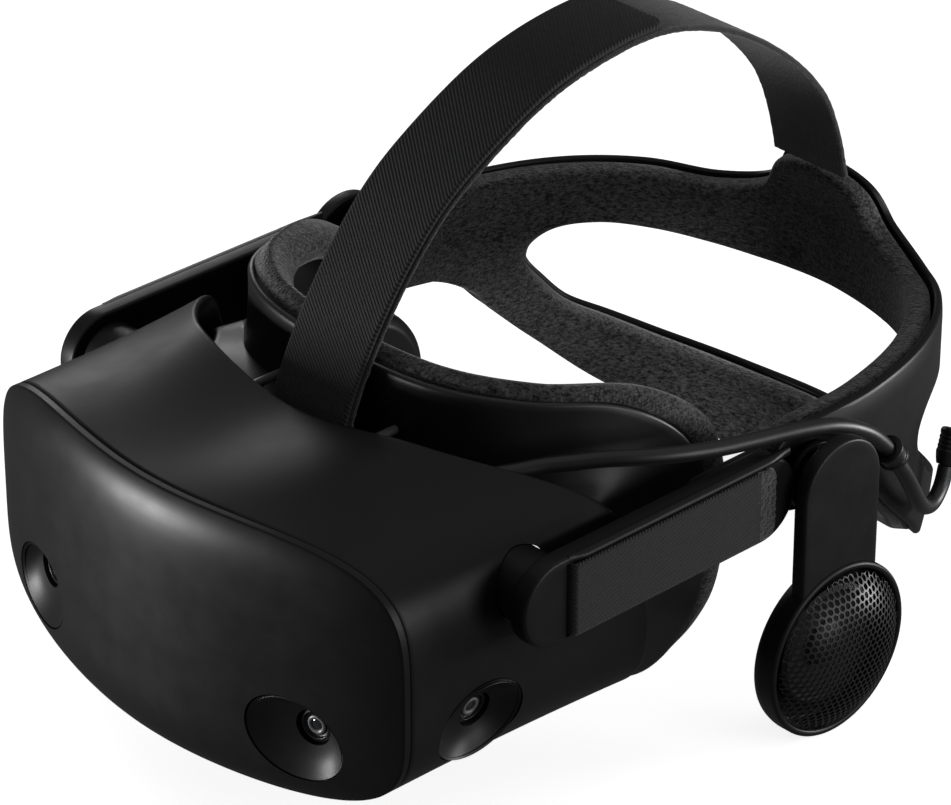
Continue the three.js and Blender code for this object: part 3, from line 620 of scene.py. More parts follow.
def face_seat(s):
    """Where a front dish stands: it is drawn about the origin, looking along -Y."""
    middle = Vector((s * FRONT_CAMERA[0], *FRONT_CAMERA[1:])) * MM
    turn = Matrix.Rotation(s * DISH_YAW, 4, "Z") @ Matrix.Rotation(s * DISH_TILT, 4, "Y")
    return Matrix.Translation(middle) @ turn


def flank_seat(s):
    """Where a side dish stands: the same, turned to look outwards and a little down."""
    middle = Vector((s * SIDE_CAMERA[0], *SIDE_CAMERA[1:])) * MM
    turn = Matrix.Rotation(s * SIDE_TILT, 4, "Y") @ Matrix.Rotation(s * pi / 2, 4, "Z")
    return Matrix.Translation(middle) @ turn


def seated(seat, points):
    return np.array(points, float) @ np.array(seat.to_3x3()).T + np.array(seat.translation) / MM


def dish_tool(seat):
    radius = DISH_R + GAP
    tool = lathe("tool", [(0, -14), (radius, -14), (radius, 14), (0, 14)], (0, 0, 0), (0, -1, 0), 128)
    tool.data.transform(Matrix.Diagonal((DISH_STRETCH, 1, 1, 1)))
    tool.data.transform(seat)
    return tool


def cylinder_tool(start, axis, length, radius, sides=96):
    return lathe("tool", [(0, 0), (radius, 0), (radius, length), (0, length)], start, axis, sides)


def box_tool(low, high):
    corners = [(x, y, z) for x in (low[0], high[0]) for y in (low[1], high[1]) for z in (low[2], high[2])]
    faces = [(0, 1, 3, 2), (4, 6, 7, 5), (0, 4, 5, 1), (2, 3, 7, 6), (0, 2, 6, 4), (1, 5, 7, 3)]
    return make_mesh("tool", corners, faces)


def make_faceplate():
    shares = np.concatenate([np.linspace(0.02, 0.80, 26), np.linspace(0.80, 0.997, 22)[1:]])
    rows = [face_point(AROUND_ANGLE, s, 0.0) for s in shares]
    rows += [face_point(AROUND_ANGLE, 1.0, d) for d in (0.15, 0.5, WALL - 0.3)]
    rows += [face_point(AROUND_ANGLE, s, WALL) for s in (0.995, 0.9, 0.5, 0.02)]
    panel = make_mesh("faceplate_panel", np.array(rows), capped_faces(len(rows), AROUND))
    tools = [dish_tool(face_seat(s)) for _, s in SIDES]
    place(cut(panel, *tools), "visor", "shell", "face", "faceplate")


def make_rim():
    front = face_point(AROUND_ANGLE, 1.0, WALL + GAP)
    rear = face_point(AROUND_ANGLE, 1.0, RIM)
    outer = np.stack([inward(front, 0.5), inward(rear, 0.5)], 1)
    rim = hoop("face_rim_fine", rounded_ends(outer, inward(outer, 5.5), 2))
    place(rim, "visor", "trim", "trim", "face_rim")


def make_dish(node, seat, shift, on_face):
    """A shallow cone with its hole off its middle; a front one meets the faceplate all round."""
    turn = np.linspace(0, 2 * pi, 128, endpoint=False)
    ring = np.stack([np.cos(turn), 0 * turn, np.sin(turn)], 1)
    rim = seated(seat, ring * [DISH_R * DISH_STRETCH, 0, DISH_R])
    if on_face:
        rim[:, 1] = face_depth(rim[:, 0], rim[:, 2]) + 0.25
    hole = seated(seat, ring * (CAMERA_R + GAP) + [shift[0], DISH_DEEP, shift[1]])
    deeper = np.array(seat.to_3x3() @ Vector((0, 1, 0)))
    rows = [rim + 3.5 * deeper, rim + 0.35 * deeper, blend_points(rim, hole, 0.012)]
    rows += [blend_points(rim, hole, t) + 0.6 * sin(pi * t) * deeper for t in np.linspace(0.04, 0.97, 22)]
    rows += [hole, hole + 0.3 * deeper, hole + 6.5 * deeper]
    dish = make_mesh(f"{node}_fine", np.array(rows), grid_faces(len(rows), 128, False, True))
    thicken(dish, 0.8)
    place(dish, "visor", "shell", "shell", node)


def make_cameras():
    for side, s in SIDES:
        for kind, seat, shift in (("front", face_seat(s), FRONT_SHIFT), ("side", flank_seat(s), SIDE_SHIFT)):
            shift = (s * shift[0], shift[1])
            make_dish(f"camera_dish_{kind}_{side}", seat, shift, kind == "front")
            start = seated(seat, (shift[0], DISH_DEEP + 4.6, shift[1]))
            make_camera_eye(f"camera_{kind}_{side}", start, seat.to_3x3() @ Vector((0, -1, 0)))


def thicken(obj, amount):
    """Gives an open skin a thickness on its inner side."""
    solid = obj.modifiers.new("wall", "SOLIDIFY")
    solid.thickness = amount * MM
    solid.offset = -1
    apply_modifiers(obj)
    shade(obj.data)


def make_camera_eye(node, start, axis):
    barrel = lathe(f"{node}_fine", rounded_profile(
        [(0, -6), (CAMERA_R, -6), (CAMERA_R, 3.2), (4.2, 3.6), (3.9, 2.6), (2.9, 2.4), (0, 2.4)], 0.3),
        start, axis)
    place(barrel, "visor", "camera_glass", "trim", node)
    ring = lathe(f"{node}_ring", rounded_profile(
        [(1.75, 2.4), (3.0, 2.45), (3.0, 3.0), (2.4, 3.25), (1.85, 2.9), (1.75, 2.4)], 0.2), start, axis)
    place(ring, "visor", "camera_glass", "ring")
    glass = lathe(f"{node}_glass", [(0, 3.0)] + [(1.85 * sin(a), 2.45 + 0.55 * cos(a))
                  for a in np.linspace(0.15, pi / 2, 8)] + [(1.85, 2.3), (0, 2.3)], start, axis)
    place(glass, "visor", "camera_glass", "camera")


BUTTON_X, BUTTON_Y, BUTTON_W, BUTTON_D = (-46, -58), 2, 9, 5
KNOB_Y, IPD_TRAVEL = -30, 2


def shell_outer():
    """Points of the shell's outer face, round it and then back from the faceplate."""
    front = face_point(AROUND_ANGLE, 1.0, RIM + GAP)
    rear = cubic(SHELL_REAR, AROUND_TURN, True)
    back = np.concatenate([[0.004, 0.012], np.linspace(0.03, 0.96, 34), [0.972, 0.984]])
    return np.stack([blend_points(front, rear, b) for b in back], 1)


def shell_underside(x, y):
    points = shell_outer().reshape(-1, 3)
    near = (points[:, 2] < FACE_MID) & (np.hypot(points[:, 0] - x, points[:, 1] - y) < 3)
    return points[near, 2].mean()


def make_shell():
    outer = shell_outer()
    shell = hoop("main_shell_fine", rounded_ends(outer, inward(outer, WALL), 4))
    tools = []
    for _, s in SIDES:
        tools.append(dish_tool(flank_seat(s)))
        tools.append(cylinder_tool((s * 70, 0, HUB_Z), (s, 0, 0), 29, BOSS_R + GAP))
    for x in BUTTON_X:
        tools.append(box_tool((x - BUTTON_W / 2 - GAP, BUTTON_Y - BUTTON_D / 2 - GAP, -75),
                              (x + BUTTON_W / 2 + GAP, BUTTON_Y + BUTTON_D / 2 + GAP, -50)))
    slot = 4 + IPD_TRAVEL + GAP
    tools.append(box_tool((-IPD / 2 - slot, KNOB_Y - 2.5 - GAP, -80),
                          (-IPD / 2 + slot, KNOB_Y + 2.5 + GAP, -46)))
    place(cut(shell, *tools), "visor", "shell", "shell", "main_shell")


def make_hubs():
    for side, s in SIDES:
        face = ARM_X - ARM_T - 0.5
        profile = [(BOSS_BORE, 0), (BOSS_R, 0), (BOSS_R, BOSS_L), (BOSS_BORE, BOSS_L), (BOSS_BORE, 0)]
        boss = lathe(f"hub_boss_{side}_fine", rounded_profile(profile, 1.2),
                     (s * (face - BOSS_L), 0, HUB_Z), (s, 0, 0), 96)
        place(boss, "visor", "shell", "shell", f"hub_boss_{side}")


def make_optics():
    for side, s in SIDES:
        x = s * IPD / 2
        bore, lip, lip_at = LENS_R + GAP, LENS_R - 2, BARREL_L - 2.5
        barrel = [(bore, 0), (BARREL_R, 0), (BARREL_R, BARREL_L), (lip, BARREL_L), (lip, lip_at),
                  (bore, lip_at), (bore, 0)]
        body = f"lens_{side}"
        place(lathe(f"lens_barrel_{side}_fine", rounded_profile(barrel, 0.8), (x, -35, EYE_Z), (0, 1, 0), 96),
              body, "inner", "inner", f"lens_barrel_{side}")
        steps = [(r, LENS_FRONT - LENS_FALL * (r / LENS_R) ** 2 + (0.12 if k % 2 else 0.0))
                 for k, r in enumerate(np.linspace(5, LENS_R - 0.8, 26))]
        lens = [(0, -4), (12, -2.8), (LENS_R, 0), (LENS_R, 2.9)] + steps[::-1] + [(0, 6)]
        place(lathe(f"eye_lens_{side}_fine", lens, (x, LENS_Y, EYE_Z), (0, 1, 0), 96),
              body, "lens", "lens", f"eye_lens_{side}")


def make_controls():
    x = -IPD / 2
    under = shell_underside(x, KNOB_Y)
    grip = plate("ipd_knob_grip", rounded_rect((x - 4, KNOB_Y - 2.5), (x + 4, KNOB_Y + 2.5), 1.2),
                 under - 2.5, under + 3, 0.5, axis=2)
    place(grip, "lens_right", "trim", "trim", "ipd_knob")
    stem = plate("ipd_knob_stem", rounded_rect((x - 1.5, KNOB_Y - 1.5), (x + 1.5, KNOB_Y + 1.5), 0.6),
                 under + 2.6, EYE_Z - BARREL_R - GAP, 0.2, axis=2)
    place(stem, "lens_right", "trim", "trim")
    for bx, name in zip(BUTTON_X, ("volume_down", "volume_up")):
        low = shell_underside(bx, BUTTON_Y) - 0.8
        outline = rounded_rect((bx - BUTTON_W / 2, BUTTON_Y - BUTTON_D / 2),
                               (bx + BUTTON_W / 2, BUTTON_Y + BUTTON_D / 2), 1.6)
        cap = plate(f"{name}_fine", outline, low, low + 8, 0.5, axis=2)
        place(cap, f"{name}_button", "trim", "trim", name)


# ---- Face gasket ----
# Three lines round it: the edge of its flange, the foot of its wall and the wall's rim.
GASKET_FLANGE = mirrored([
    (0, 10.5, -32), (24, 17, -47), (50, 26, -54), (72, 32, -48), (80, 34, -24), (81, 33, -3),
    (78, 27, 8), (70, 22, 12), (55, 8, 15), (30, 3, 14.5), (0, 2.5, 13.5),
])
GASKET_FOOT = mirrored([
    (0, 15, -27), (20, 25, -42), (46, 36, -53), (68, 42, -51), (79, 44, -28), (80, 43, -4),
    (76, 38, 8), (66, 29, 11), (52, 18, 14.5), (30, 12, 15), (0, 11, 14),
])
GASKET_RIM = mirrored([
    (0, 20, -22), (16, 36, -42), (42, 54, -61), (68, 63, -66), (82, 74, -44), (82, 80, -12),
    (79, 76, 13), (74, 54, 31.6), (60.3, 26.8, 37.7), (38, 13, 38.7), (0, 11, 37),
])
CUSHION_DEEP, CUSHION_IN, CUSHION_MID, CUSHION_CLEAR = 12, 13, 5, 1.8
PUFF_FRAMES = 12
TOWARDS_HEAD = np.array([0, 0.85, 0.35])


def square_to(rows):
    """Directions square to rows of points laid over a surface, towards its inner side."""
    around = np.roll(rows, -1, axis=1) - np.roll(rows, 1, axis=1)
    ahead = np.concatenate([rows[1:], rows[-1:]]) - np.concatenate([rows[:1], rows[:-1]])
    across = np.cross(around, ahead)
    return across / np.linalg.norm(across, axis=-1, keepdims=True)


def between(rows, steps):
    """More rows, evenly between each pair."""
    finer = [blend_points(a, b, t) for a, b in zip(rows, rows[1:]) for t in np.linspace(0, 1, steps)[:-1]]
    return np.stack(finer + [rows[-1]], 1)


def make_gasket():
    flange, foot, rim = [cubic(line, AROUND_TURN, True) for line in (GASKET_FLANGE, GASKET_FOOT, GASKET_RIM)]
    rows = np.array([flange, foot, blend_points(foot, rim, 0.5), rim])
    inner = rows + WALL * square_to(rows)
    shroud = hoop("gasket_frame_fine", rounded_ends(between(rows, 9), between(inner, 9), 3), crease=50)
    # The gasket frame wears the shroud look, whose lighter tone is a painted highlight.
    place(shroud, "face_mask", "trim", "shroud", "gasket_frame")
    overhang = np.maximum(0, WALL * square_to(rows)[-1] @ TOWARDS_HEAD)[:, None]
    base = rim + TOWARDS_HEAD * (CUSHION_CLEAR + overhang)
    far = rim + TOWARDS_HEAD * CUSHION_DEEP

    def within(points, distance):
        return inward(points, distance, CUSHION_MID)

    def up(share):
        return blend_points(base, far, share)

    outer_rows = [base, up(0.4), up(0.75), within(up(0.93), 1.2)]
    top_rows = [within(far, 3 + (CUSHION_IN - 6) * t) + TOWARDS_HEAD * 0.6 * sin(pi * t)
                for t in np.linspace(0, 1, 9)]
    inner_rows = [within(up(0.93), CUSHION_IN - 1.2)] + [within(up(t), CUSHION_IN) for t in (0.75, 0.4, 0)]
    bottom_rows = [within(base, CUSHION_IN * t) for t in (0.75, 0.5, 0.25)]
    sections = np.stack(outer_rows + top_rows + inner_rows + bottom_rows, 1)
    cushion = hoop("gasket_cushion_soft", sections, crease=180)
    puff(cushion, 0.9)
    place(cushion, "face_mask", "heather", "heather", "gasket_cushion")


def puff(obj, cap):
    """Swells a soft piece with air pressure, never further than the cap."""
    start = np.zeros(len(obj.data.vertices) * 3, np.float32)
    obj.data.vertices.foreach_get("co", start)
    cloth = obj.modifiers.new("cloth", "CLOTH")
    cloth.settings.quality = 4
    cloth.settings.tension_stiffness = 40
    cloth.settings.compression_stiffness = 40
    cloth.settings.use_pressure = True
    cloth.settings.uniform_pressure_force = 3
    cloth.settings.effector_weights.gravity = 0
    cloth.point_cache.frame_start = 1
    cloth.point_cache.frame_end = PUFF_FRAMES
    for step in range(1, PUFF_FRAMES + 1):
        bpy.context.scene.frame_set(step)
    apply_modifiers(obj)
    bpy.context.scene.frame_set(1)
    swollen = np.zeros_like(start)
    obj.data.vertices.foreach_get("co", swollen)
    start, swollen = start.reshape(-1, 3), swollen.reshape(-1, 3)
    move = swollen - start
    far = np.maximum(np.linalg.norm(move, axis=1, keepdims=True), 1e-9)
    kept = start + move / far * (cap * MM) * np.tanh(far / (cap * MM))
    obj.data.vertices.foreach_set("co", kept.astype(np.float32).ravel())
    obj.data.shade_smooth()


# ---- Side arms and straps ----
SLOT_FRONT, SLOT_REAR, SLOT_DEEP = 2.4, 5.2, 4.6


def make_arms():
    half = ARM_H / 2
    outline = rounded_rect((-half, HUB_Z - half), (ARM_END, HUB_Z + half), half - 0.01, 20, 20)
    slot_half = STRAP_W / 2 + GAP
    plate_outline = rounded_rect((PLATE_FRONT, HUB_Z - PLATE_HALF), (PLATE_REAR, HUB_Z + PLATE_HALF), 5)
    for side, s in SIDES:
        low, high = sorted((s * (ARM_X - ARM_T), s * ARM_X))
        arm = plate(f"side_arm_{side}_fine", outline, low, high, 1.1, steps=5)
        slot_x = sorted((s * (ARM_X - SLOT_DEEP), s * (ARM_X + 2)))
        slot = box_tool((slot_x[0], SLOT_FRONT, HUB_Z - slot_half), (slot_x[1], SLOT_REAR, HUB_Z + slot_half))
        place(cut(arm, slot, crease=30), "headband", "shell", "shell", f"side_arm_{side}")
        make_rail(side, s)
        plate_face = ARM_X - ARM_T - GAP
        plate_x = sorted((s * (plate_face - PLATE_T), s * plate_face))
        band = plate(f"band_plate_{side}_fine", plate_outline, *plate_x, 0.5)
        place(band, "headband", "shell", "shell", f"band_plate_{side}")


RAIL_UP, RAIL_R, RAIL_SINK = 12.7, 1.4, 1.4


def make_rail(side, s):
    """The raised round rail above the strap, which sinks into the arm at both ends."""
    at = np.linspace(3.5, ARM_END - 3, 70)
    share = (at - at[0]) / (at[-1] - at[0])
    swell = np.clip(np.minimum(share * 14, (1 - share) * 9), 0, 1)
    swell = swell * swell * (3 - 2 * swell)
    turn = np.linspace(0, pi, 13)
    rows = []
    for y, size in zip(at, swell):
        height = RAIL_UP + RAIL_R * np.cos(turn)
        out = ARM_X - 0.6 + (0.65 + 1.15 * size) * np.sin(turn)
        rows.append(np.stack([s * out, np.full(13, y), HUB_Z + height], 1))
    rows = np.array(rows)
    under = rows[:, ::-1].copy()
    under[..., 0] = s * (ARM_X - RAIL_SINK)
    points = np.concatenate([rows, under[:, 1:-1]], 1)
    rail = make_mesh(f"arm_rail_{side}", points, capped_faces(*points.shape[:2]), crease=40)
    place(rail, "headband", "shell", "shell")


def band_strip(name, line, width, thickness, across_axis, columns, rib=None, end_round=0.0):
    """A strap: a rounded oblong section along a line. UV runs along (u) and across (v) the strap."""
    t = tangents(line)
    across = np.array(across_axis, float)
    out = np.cross(across, t)
    out /= np.linalg.norm(out, axis=1, keepdims=True)
    run = np.concatenate([[0], np.cumsum(np.linalg.norm(np.diff(line, axis=0), axis=1))])
    half, thick = width / 2, thickness / 2
    flat = np.linspace(-half + thick, half - thick, columns)
    bend = np.linspace(0, pi, 6)[1:-1]
    side_w = [half - thick + thick * sin(a) for a in bend]
    side_h = [thick * cos(a) for a in bend]
    ws = list(flat) + side_w + list(flat[::-1]) + [-w for w in side_w]
    hs = [thick] * columns + side_h + [-thick] * columns + [-h for h in side_h]
    ws, hs = np.array(ws), np.array(hs)
    narrow = np.ones(len(line))
    if end_round:
        left = np.clip(run[-1] - run, 0, end_round)
        narrow = 1 - (end_round - np.sqrt(np.maximum(end_round ** 2 - (end_round - left) ** 2, 0))) / half
    points = np.zeros((len(line), len(ws), 3))
    for i, p in enumerate(line):
        w = ws * narrow[i]
        lift = hs.copy()
        if rib is not None:
            lift = lift + np.where(hs >= thick * 0.99, rib(run[i], w), 0)
        points[i] = p + w[:, None] * across + lift[:, None] * out[i]
    uv = np.stack([np.repeat(run[:, None], len(ws), 1), np.repeat(ws[None], len(line), 0)], -1)
    return make_mesh(name, points, capped_faces(len(line), len(ws)), uv=uv, crease=50)


def diagonal_rib(pitch, depth, angle):
    return lambda run, w: depth * (0.5 * np.cos((run * cos(angle) + w * sin(angle)) * 2 * pi / pitch) - 0.5)


def make_side_straps():
    root = ARM_X - SLOT_DEEP + GAP
    mid = ARM_X + GAP + STRAP_T / 2
    slot_y = SLOT_FRONT + GAP + 1.1
    for side, s in SIDES:
        bend = [(mid - 1.9 + 1.9 * sin(a), slot_y + 0.35 - 1.2 * sin(a) ** 2 * 0.5 + 1.9 * (1 - cos(a)))
                for a in np.linspace(0, pi / 2, 9)]
        straight = [(mid, y) for y in np.linspace(slot_y + 4, STRAP_END - TAB_L + 1, 60)]
        flat = [(root, slot_y + 0.2), (mid - 3, slot_y + 0.3)] + bend + straight
        line = np.array([(s * x, y, HUB_Z) for x, y in flat])
        line = evenly(line, 420)
        strip = band_strip(f"side_strap_{side}_web", line, STRAP_W, STRAP_T, (0, 0, -s), 44,
                           rib=diagonal_rib(1.1, 0.12, radians(50)))
        place(strip, "headband", "webbing", "twill", f"side_strap_{side}")
        tab_y = np.linspace(STRAP_END - TAB_L, STRAP_END, 30)
        tab_line = np.array([(s * (mid - 0.15), y, HUB_Z) for y in tab_y])
        tab = band_strip(f"side_strap_{side}_tab", tab_line, STRAP_W, STRAP_T - 0.3, (0, 0, -s), 60,
                         end_round=3)
        fluff(tab, 0.35, 900)
        place(tab, "headband", "webbing", "loop")


def fluff(obj, depth, scale):
    """Raises a surface's points along their normals by a fine, repeatable noise."""
    mesh = obj.data
    normals = [Vector(n.vector) for n in mesh.vertex_normals]
    for vertex, normal in zip(mesh.vertices, normals):
        vertex.co += normal * depth * MM * noise.noise(vertex.co * scale)
    mesh.update()


# ---- Halo headband ----
HALO_EDGE = mirrored([
    (0, -84), (25, -80), (49, -65), (64, -46), (72, -33), (78, -22), (88, -13), (99, -10), (99, 14),
    (80, 15.5), (60, 14.5), (40, 12), (26, 9.5), (14.5, 14.5), (9.3, 27), (0, 30.5),
])
HALO_OPENING = mirrored([
    (0, -59), (16, -58), (34, -52), (48, -43), (55, -37), (60, -28), (62.5, -22), (63, -18),
    (62, -13), (58, -8.5), (50, -7.5), (38, -10), (26, -13), (16, -15), (8, -16), (0, -16),
])
HALO_AROUND = 300


def halo_point(p, depth):
    degrees, z = p[..., 0], p[..., 1]
    lean = np.where(z > 8, 9 * ((z - 8) / 25) ** 2, 9 * (np.maximum(0, -35 - z) / 49) ** 2)
    a, b = HALO_A - depth - lean, HALO_B - depth - lean
    past = np.abs(degrees) - 90
    turn = np.radians(np.clip(degrees, -90, 90))
    side = np.sign(turn) * np.abs(np.sin(turn)) ** HALO_ROUND
    x = np.where(past > 0, np.sign(degrees) * (a - past * 0.08), a * side)
    y = np.where(past > 0, HALO_Y - past * STRETCH, HALO_Y + b * np.maximum(np.cos(turn), 0) ** HALO_ROUND)
    return np.stack([x, y, z], -1)


def make_halo():
    turn = np.linspace(0, 1, HALO_AROUND, endpoint=False)
    edge, opening = cubic(HALO_EDGE, turn, True), cubic(HALO_OPENING, turn, True)
    across = np.linspace(0.025, 0.975, 22)
    line = np.stack([blend_points(edge, opening, t) for t in across], 1)
    shell = hoop("halo_shell_fine", rounded_ends(halo_point(line, 0.0), halo_point(line, HALO_SHELL), 4))
    place(shell, "headband", "shell", "shell", "halo_shell")
    top, floor = HALO_SHELL + 4 * GAP, HALO_PAD
    first, last, corner = 0.03, 0.97, 0.085
    inner_share = np.linspace(first + corner, last - corner, 12)

    def ring(share, depth):
        return halo_point(blend_points(edge, opening, share), depth)

    def bend(share, angle):
        return ring(share, floor - (floor - top) * 0.5 * (1 - sin(angle)))

    rows = [ring(s, top) for s in np.linspace(last, first, 12)]
    rows += [ring(first, top + (floor - top) * t) for t in (0.25, 0.5)]
    rows += [bend(first + corner * (1 - cos(a)), a) for a in np.linspace(0.2, 1.4, 5)]
    rows += [ring(s, floor) for s in inner_share]
    rows += [bend(last - corner * (1 - cos(a)), a) for a in np.linspace(1.4, 0.2, 5)]
    rows += [ring(last, top + (floor - top) * t) for t in (0.5, 0.25)]
    pad = hoop("halo_pad_soft", np.stack(rows, 1), crease=180)
    puff(pad, 0.7)
    place(pad, "headband", "heather", "heather", "halo_pad")


# ---- Top strap ----
STRAP_POINTS = [(0, y, z) for y, z in (
    (-0.5, 19.4), (2, 27.5), (11, 45), (24, 63.5), (37, 77.5), (51, 87.5), (79, 101.5), (105, 107.5),
    (127, 108), (148, 102.5), (168, 92), (187, 77), (199.5, 62), (206, 47), (210, 31.6),
)]
STRAP_LINE = cubic(STRAP_POINTS, np.linspace(0, 1, 2000), False)


def raised(line, distance):
    t = tangents(line)
    return line + np.stack([0 * t[:, 0], -t[:, 2], t[:, 1]], 1) * distance


def make_top_strap():
    bar_line = np.array([(x, BAR_Y, BAR_Z) for x in np.linspace(-BAR_X, BAR_X, 30)])
    bar = tube("strap_bar_rod", bar_line, BAR_R, 0.5)
    place(bar, "visor", "steel", "trim", "strap_bar")
    for side, s in SIDES:
        leg = lathe(f"strap_leg_{side}", rounded_profile([(0, 0), (LEG_R, 0), (LEG_R, LEG_L), (0, LEG_L)]),
                    (s * BAR_X, BAR_Y, BAR_Z), (0, 0, 1), 32)
        place(leg, "visor", "steel", "trim")
        rod = [(0, 0), (PEG_R, 0), (PEG_R, PEG_L), (0, PEG_L)]
        peg = lathe(f"strap_peg_{side}", rounded_profile(rod, 0.9),
                    (s * BAR_X, PEG_Y, PEG_Z), (0, 1, 0), 32)
        place(peg, "visor", "steel", "peg")
    lower = band_strip("top_strap_pile", evenly(STRAP_LINE, 260), TOP_STRAP_W, TOP_STRAP_T, (1, 0, 0), 34)
    fluff(lower, 0.2, 1100)
    upper_line = evenly(raised(STRAP_LINE, TOP_STRAP_T + GAP), 860, 0.0, FOLD_END)
    upper = band_strip("top_strap_web", upper_line, TOP_STRAP_W, TOP_STRAP_T, (1, 0, 0), 120,
                       rib=diagonal_rib(1.05, 0.22, radians(38)), end_round=4)
    for obj, look, node in ((lower, "loop", "top_strap"), (upper, "ribbed", "top_strap_fold")):
        obj.data.materials.append(LOOKS[look])
        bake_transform(obj)
        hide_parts(node)


# ---- Speakers ----
HEX_PITCH, HEX_BAR, MESH_T = 2.15, 0.55, 0.45


def dome_height(r):
    """Height of the mesh above the drum's front ring, by distance from its middle."""
    rim = DRUM_R - 2.5 - GAP
    return DOME_H * (1 - np.clip(r / (rim - 0.6), 0, 1) ** 3.2) + 0.3


def make_grille(side, s):
    rim = DRUM_R - 2.5 - GAP
    centre = np.array([s * (DRUM_X + DRUM_T), SPEAKER_Y, DRUM_Z])
    radius = HEX_PITCH / 3 ** 0.5
    hole = radius * (1 - HEX_BAR / HEX_PITCH)
    spots = {}
    points, faces = [], []
    def add(y, z):
        key = (round(y, 3), round(z, 3))
        if key not in spots:
            spots[key] = len(points)
            points.append((y, z))
        return spots[key]
    reach = int(rim / HEX_PITCH) + 3
    for row in range(-reach, reach + 1):
        for column in range(-reach, reach + 1):
            y = HEX_PITCH * (column + 0.5 * (row % 2))
            z = HEX_PITCH * 3 ** 0.5 / 2 * row
            if hypot(y, z) > rim - radius * 0.55:
                continue
            corners = [(cos(radians(60 * k + 30)), sin(radians(60 * k + 30))) for k in range(6)]
            outer = [add(y + radius * c, z + radius * d) for c, d in corners]
            inner = [add(y + hole * c, z + hole * d) for c, d in corners]
            for k in range(6):
                m = (k + 1) % 6
                faces.append([outer[k], outer[m], inner[m], inner[k]])
    flat = np.array(points)
    r = np.hypot(flat[:, 0], flat[:, 1])
    pull = np.where(r > rim, rim / np.maximum(r, 1e-6), 1.0)
    flat = flat * pull[:, None]
    out = dome_height(np.hypot(flat[:, 0], flat[:, 1]))
    solid = np.stack([s * out, flat[:, 0], flat[:, 1]], 1) + centre
    mesh = make_mesh(f"speaker_grille_{side}_mesh", solid, faces, crease=60)
    thicken(mesh, MESH_T)
    place(mesh, f"speaker_{side}", "grille", "grille", f"speaker_grille_{side}")


def speaker_outline():
    half = SPEAKER_ARM_R
    top = [(SPEAKER_Y + half * cos(a), PIVOT_Z + half * sin(a)) for a in np.linspace(0, pi, 33)]
    bottom = DRUM_Z + 17
    points = [(SPEAKER_Y - half, bottom), (SPEAKER_Y + half, bottom)] + top
    line = np.array(points + points[:1])
    return evenly(line, 201)[:-1]


def make_speakers():
    for side, s in SIDES:
        body = f"speaker_{side}"
        outline = speaker_outline()
        low, high = sorted((s * SPEAKER_ARM_X, s * (SPEAKER_ARM_X + SPEAKER_ARM_T)))
        arm = plate(f"speaker_arm_{side}_fine", outline, low, high, 0.9)
        drum_room = cylinder_tool((s * 95, SPEAKER_Y, DRUM_Z), (s, 0, 0), 30, DRUM_R + 0.15, sides=128)
        place(cut(arm, drum_room, crease=30), body, "shell", "shell", f"speaker_arm_{side}")
        r = DRUM_R
        cup = [(0, 0), (r - 4, 0), (r - 0.8, 2.2), (r, 5), (r, DRUM_T - 0.4), (r - 0.8, DRUM_T + 0.3),
               (r - 2.0, DRUM_T + 0.1), (r - 2.5, DRUM_T - 1.2), (r - 2.5, 2.5), (0, 2.5)]
        drum = lathe(f"speaker_drum_{side}_fine", rounded_profile(cup, 1.0),
                     (s * DRUM_X, SPEAKER_Y, DRUM_Z), (s, 0, 0), 128)
        place(drum, body, "shell", "shell", f"speaker_drum_{side}")
        cone = [(0, 0), (20, 0), (20, 3.4), (18.4, 4.3), (17.4, 3.2), (9, 1.4), (7.6, 1.6)]
        cone += [(7.6 * cos(a), 1.6 + 2.8 * sin(a)) for a in np.linspace(0.3, pi / 2 - 0.05, 7)] + [(0, 4.4)]
        driver = lathe(f"speaker_driver_{side}_fine", cone,
                       (s * (DRUM_X + 2.8), SPEAKER_Y, DRUM_Z), (s, 0, 0), 72)
        place(driver, body, "steel", "inner", f"speaker_driver_{side}")
        make_grille(side, s)
        base = HALO_A + 2 * GAP
        disc = [(0, 0), (MOUNT_R, 0), (MOUNT_R, MOUNT_T), (0, MOUNT_T)]
        mount = lathe(f"speaker_mount_{side}_fine", rounded_profile(disc),
                      (s * base, SPEAKER_Y, PIVOT_Z), (s, 0, 0))
        place(mount, "headband", "shell", "shell", f"speaker_mount_{side}")
        pivot = lathe(f"speaker_pivot_{side}_fine", rounded_profile(
            [(0, 0), (9, 0), (9, 2.4), (8.4, 2.6), (8.4, 3.0), (9, 3.2), (9, 5.4), (0, 5.4)], 0.3),
            (s * (base + MOUNT_T + GAP), SPEAKER_Y, PIVOT_Z), (s, 0, 0))
        place(pivot, body, "trim", "trim", f"speaker_pivot_{side}")


# ---- What stays of the CAD model ----
def finish_cad_nodes():
    kept = {"hub_pin": "steel", "inner_frame": "inner", "display": "display", "rack": "steel",
            "ipd_pinion": "steel", "main_board": "board"}
    for name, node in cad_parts.items():
        for start, look in kept.items():
            if name.startswith(start):
                node.data.materials.clear()
                node.data.materials.append(LOOKS[look])


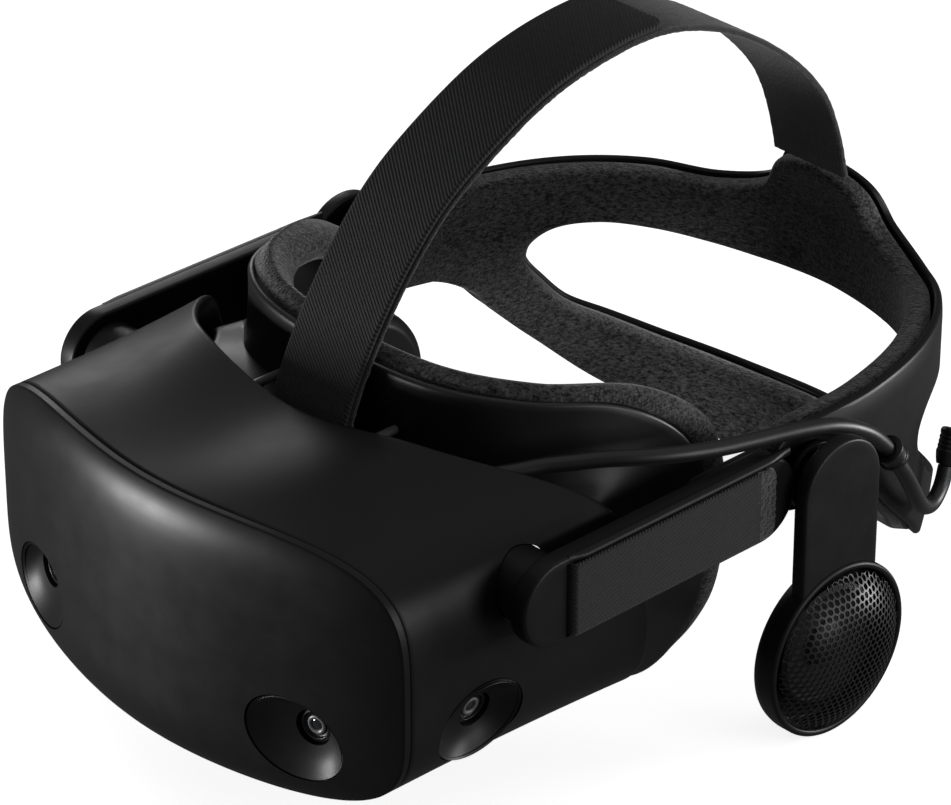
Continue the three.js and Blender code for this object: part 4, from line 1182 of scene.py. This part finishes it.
# ---- Studio ----
def make_floor():
    lowest = min(corner[2] for corner in CAD_BOX)
    mesh = bpy.data.meshes.new("floor")
    size, height = 6.0, lowest - 0.0005
    corners = [(x * size, y * size, height) for x, y in ((-1, -1), (1, -1), (1, 1), (-1, 1))]
    mesh.from_pydata(corners, [], [(0, 1, 2, 3)])
    floor = bpy.data.objects.new("floor", mesh)
    bpy.context.scene.collection.objects.link(floor)
    s = Shader("floor_white").set(Roughness=0.9, Specular_IOR_Level=0.1)
    s.colour(s.noise(3, 2), (0.86, 0.86, 0.86), (0.9, 0.9, 0.9))
    s.set(Emission_Color=(1, 1, 1, 1), Emission_Strength=0.78)
    mesh.materials.append(s.material)
    floor.visible_diffuse = False
    floor.visible_glossy = False


def area_light(name, place_at, look_at, size, power):
    data = bpy.data.lights.new(name, "AREA")
    data.shape = "RECTANGLE"
    data.size, data.size_y = size
    data.energy = power
    light = bpy.data.objects.new(name, data)
    bpy.context.scene.collection.objects.link(light)
    light.location = Vector(place_at)
    direction = Vector(look_at) - Vector(place_at)
    light.rotation_euler = direction.to_track_quat("-Z", "Y").to_euler()
    light.visible_camera = False


def make_light():
    world = bpy.data.worlds.new("studio")
    bpy.context.scene.world = world
    world.use_nodes = True
    world.node_tree.nodes["Background"].inputs["Color"].default_value = (1, 1, 1, 1)
    world.node_tree.nodes["Background"].inputs["Strength"].default_value = 0.1
    area_light("overhead", (0.1, 0.3, 1.9), (0.0, 0.1, 0.0), (3.2, 3.2), 9)
    area_light("back_left", (-0.52, 0.32, 0.17), (-0.07, -0.04, 0.02), (0.18, 0.18), 0.42)
    area_light("front_low", (-0.25, -0.38, -0.06), (-0.04, -0.06, -0.06), (0.14, 0.10), 2.7)
    area_light("right", (0.75, 0.25, 0.12), (0.09, 0.05, -0.02), (0.3, 0.4), 1.4)
    area_light("rear_right", (0.40, 0.62, 0.0), (0.09, 0.15, 0.0), (0.25, 0.15), 2.4)
    bpy.context.scene.view_settings.view_transform = "Standard"


make_camera()
make_lead()
make_faceplate()
make_rim()
make_cameras()
make_shell()
make_hubs()
make_optics()
make_controls()
make_gasket()
make_arms()
make_side_straps()
make_halo()
make_top_strap()
make_speakers()
finish_cad_nodes()
make_floor()
make_light()
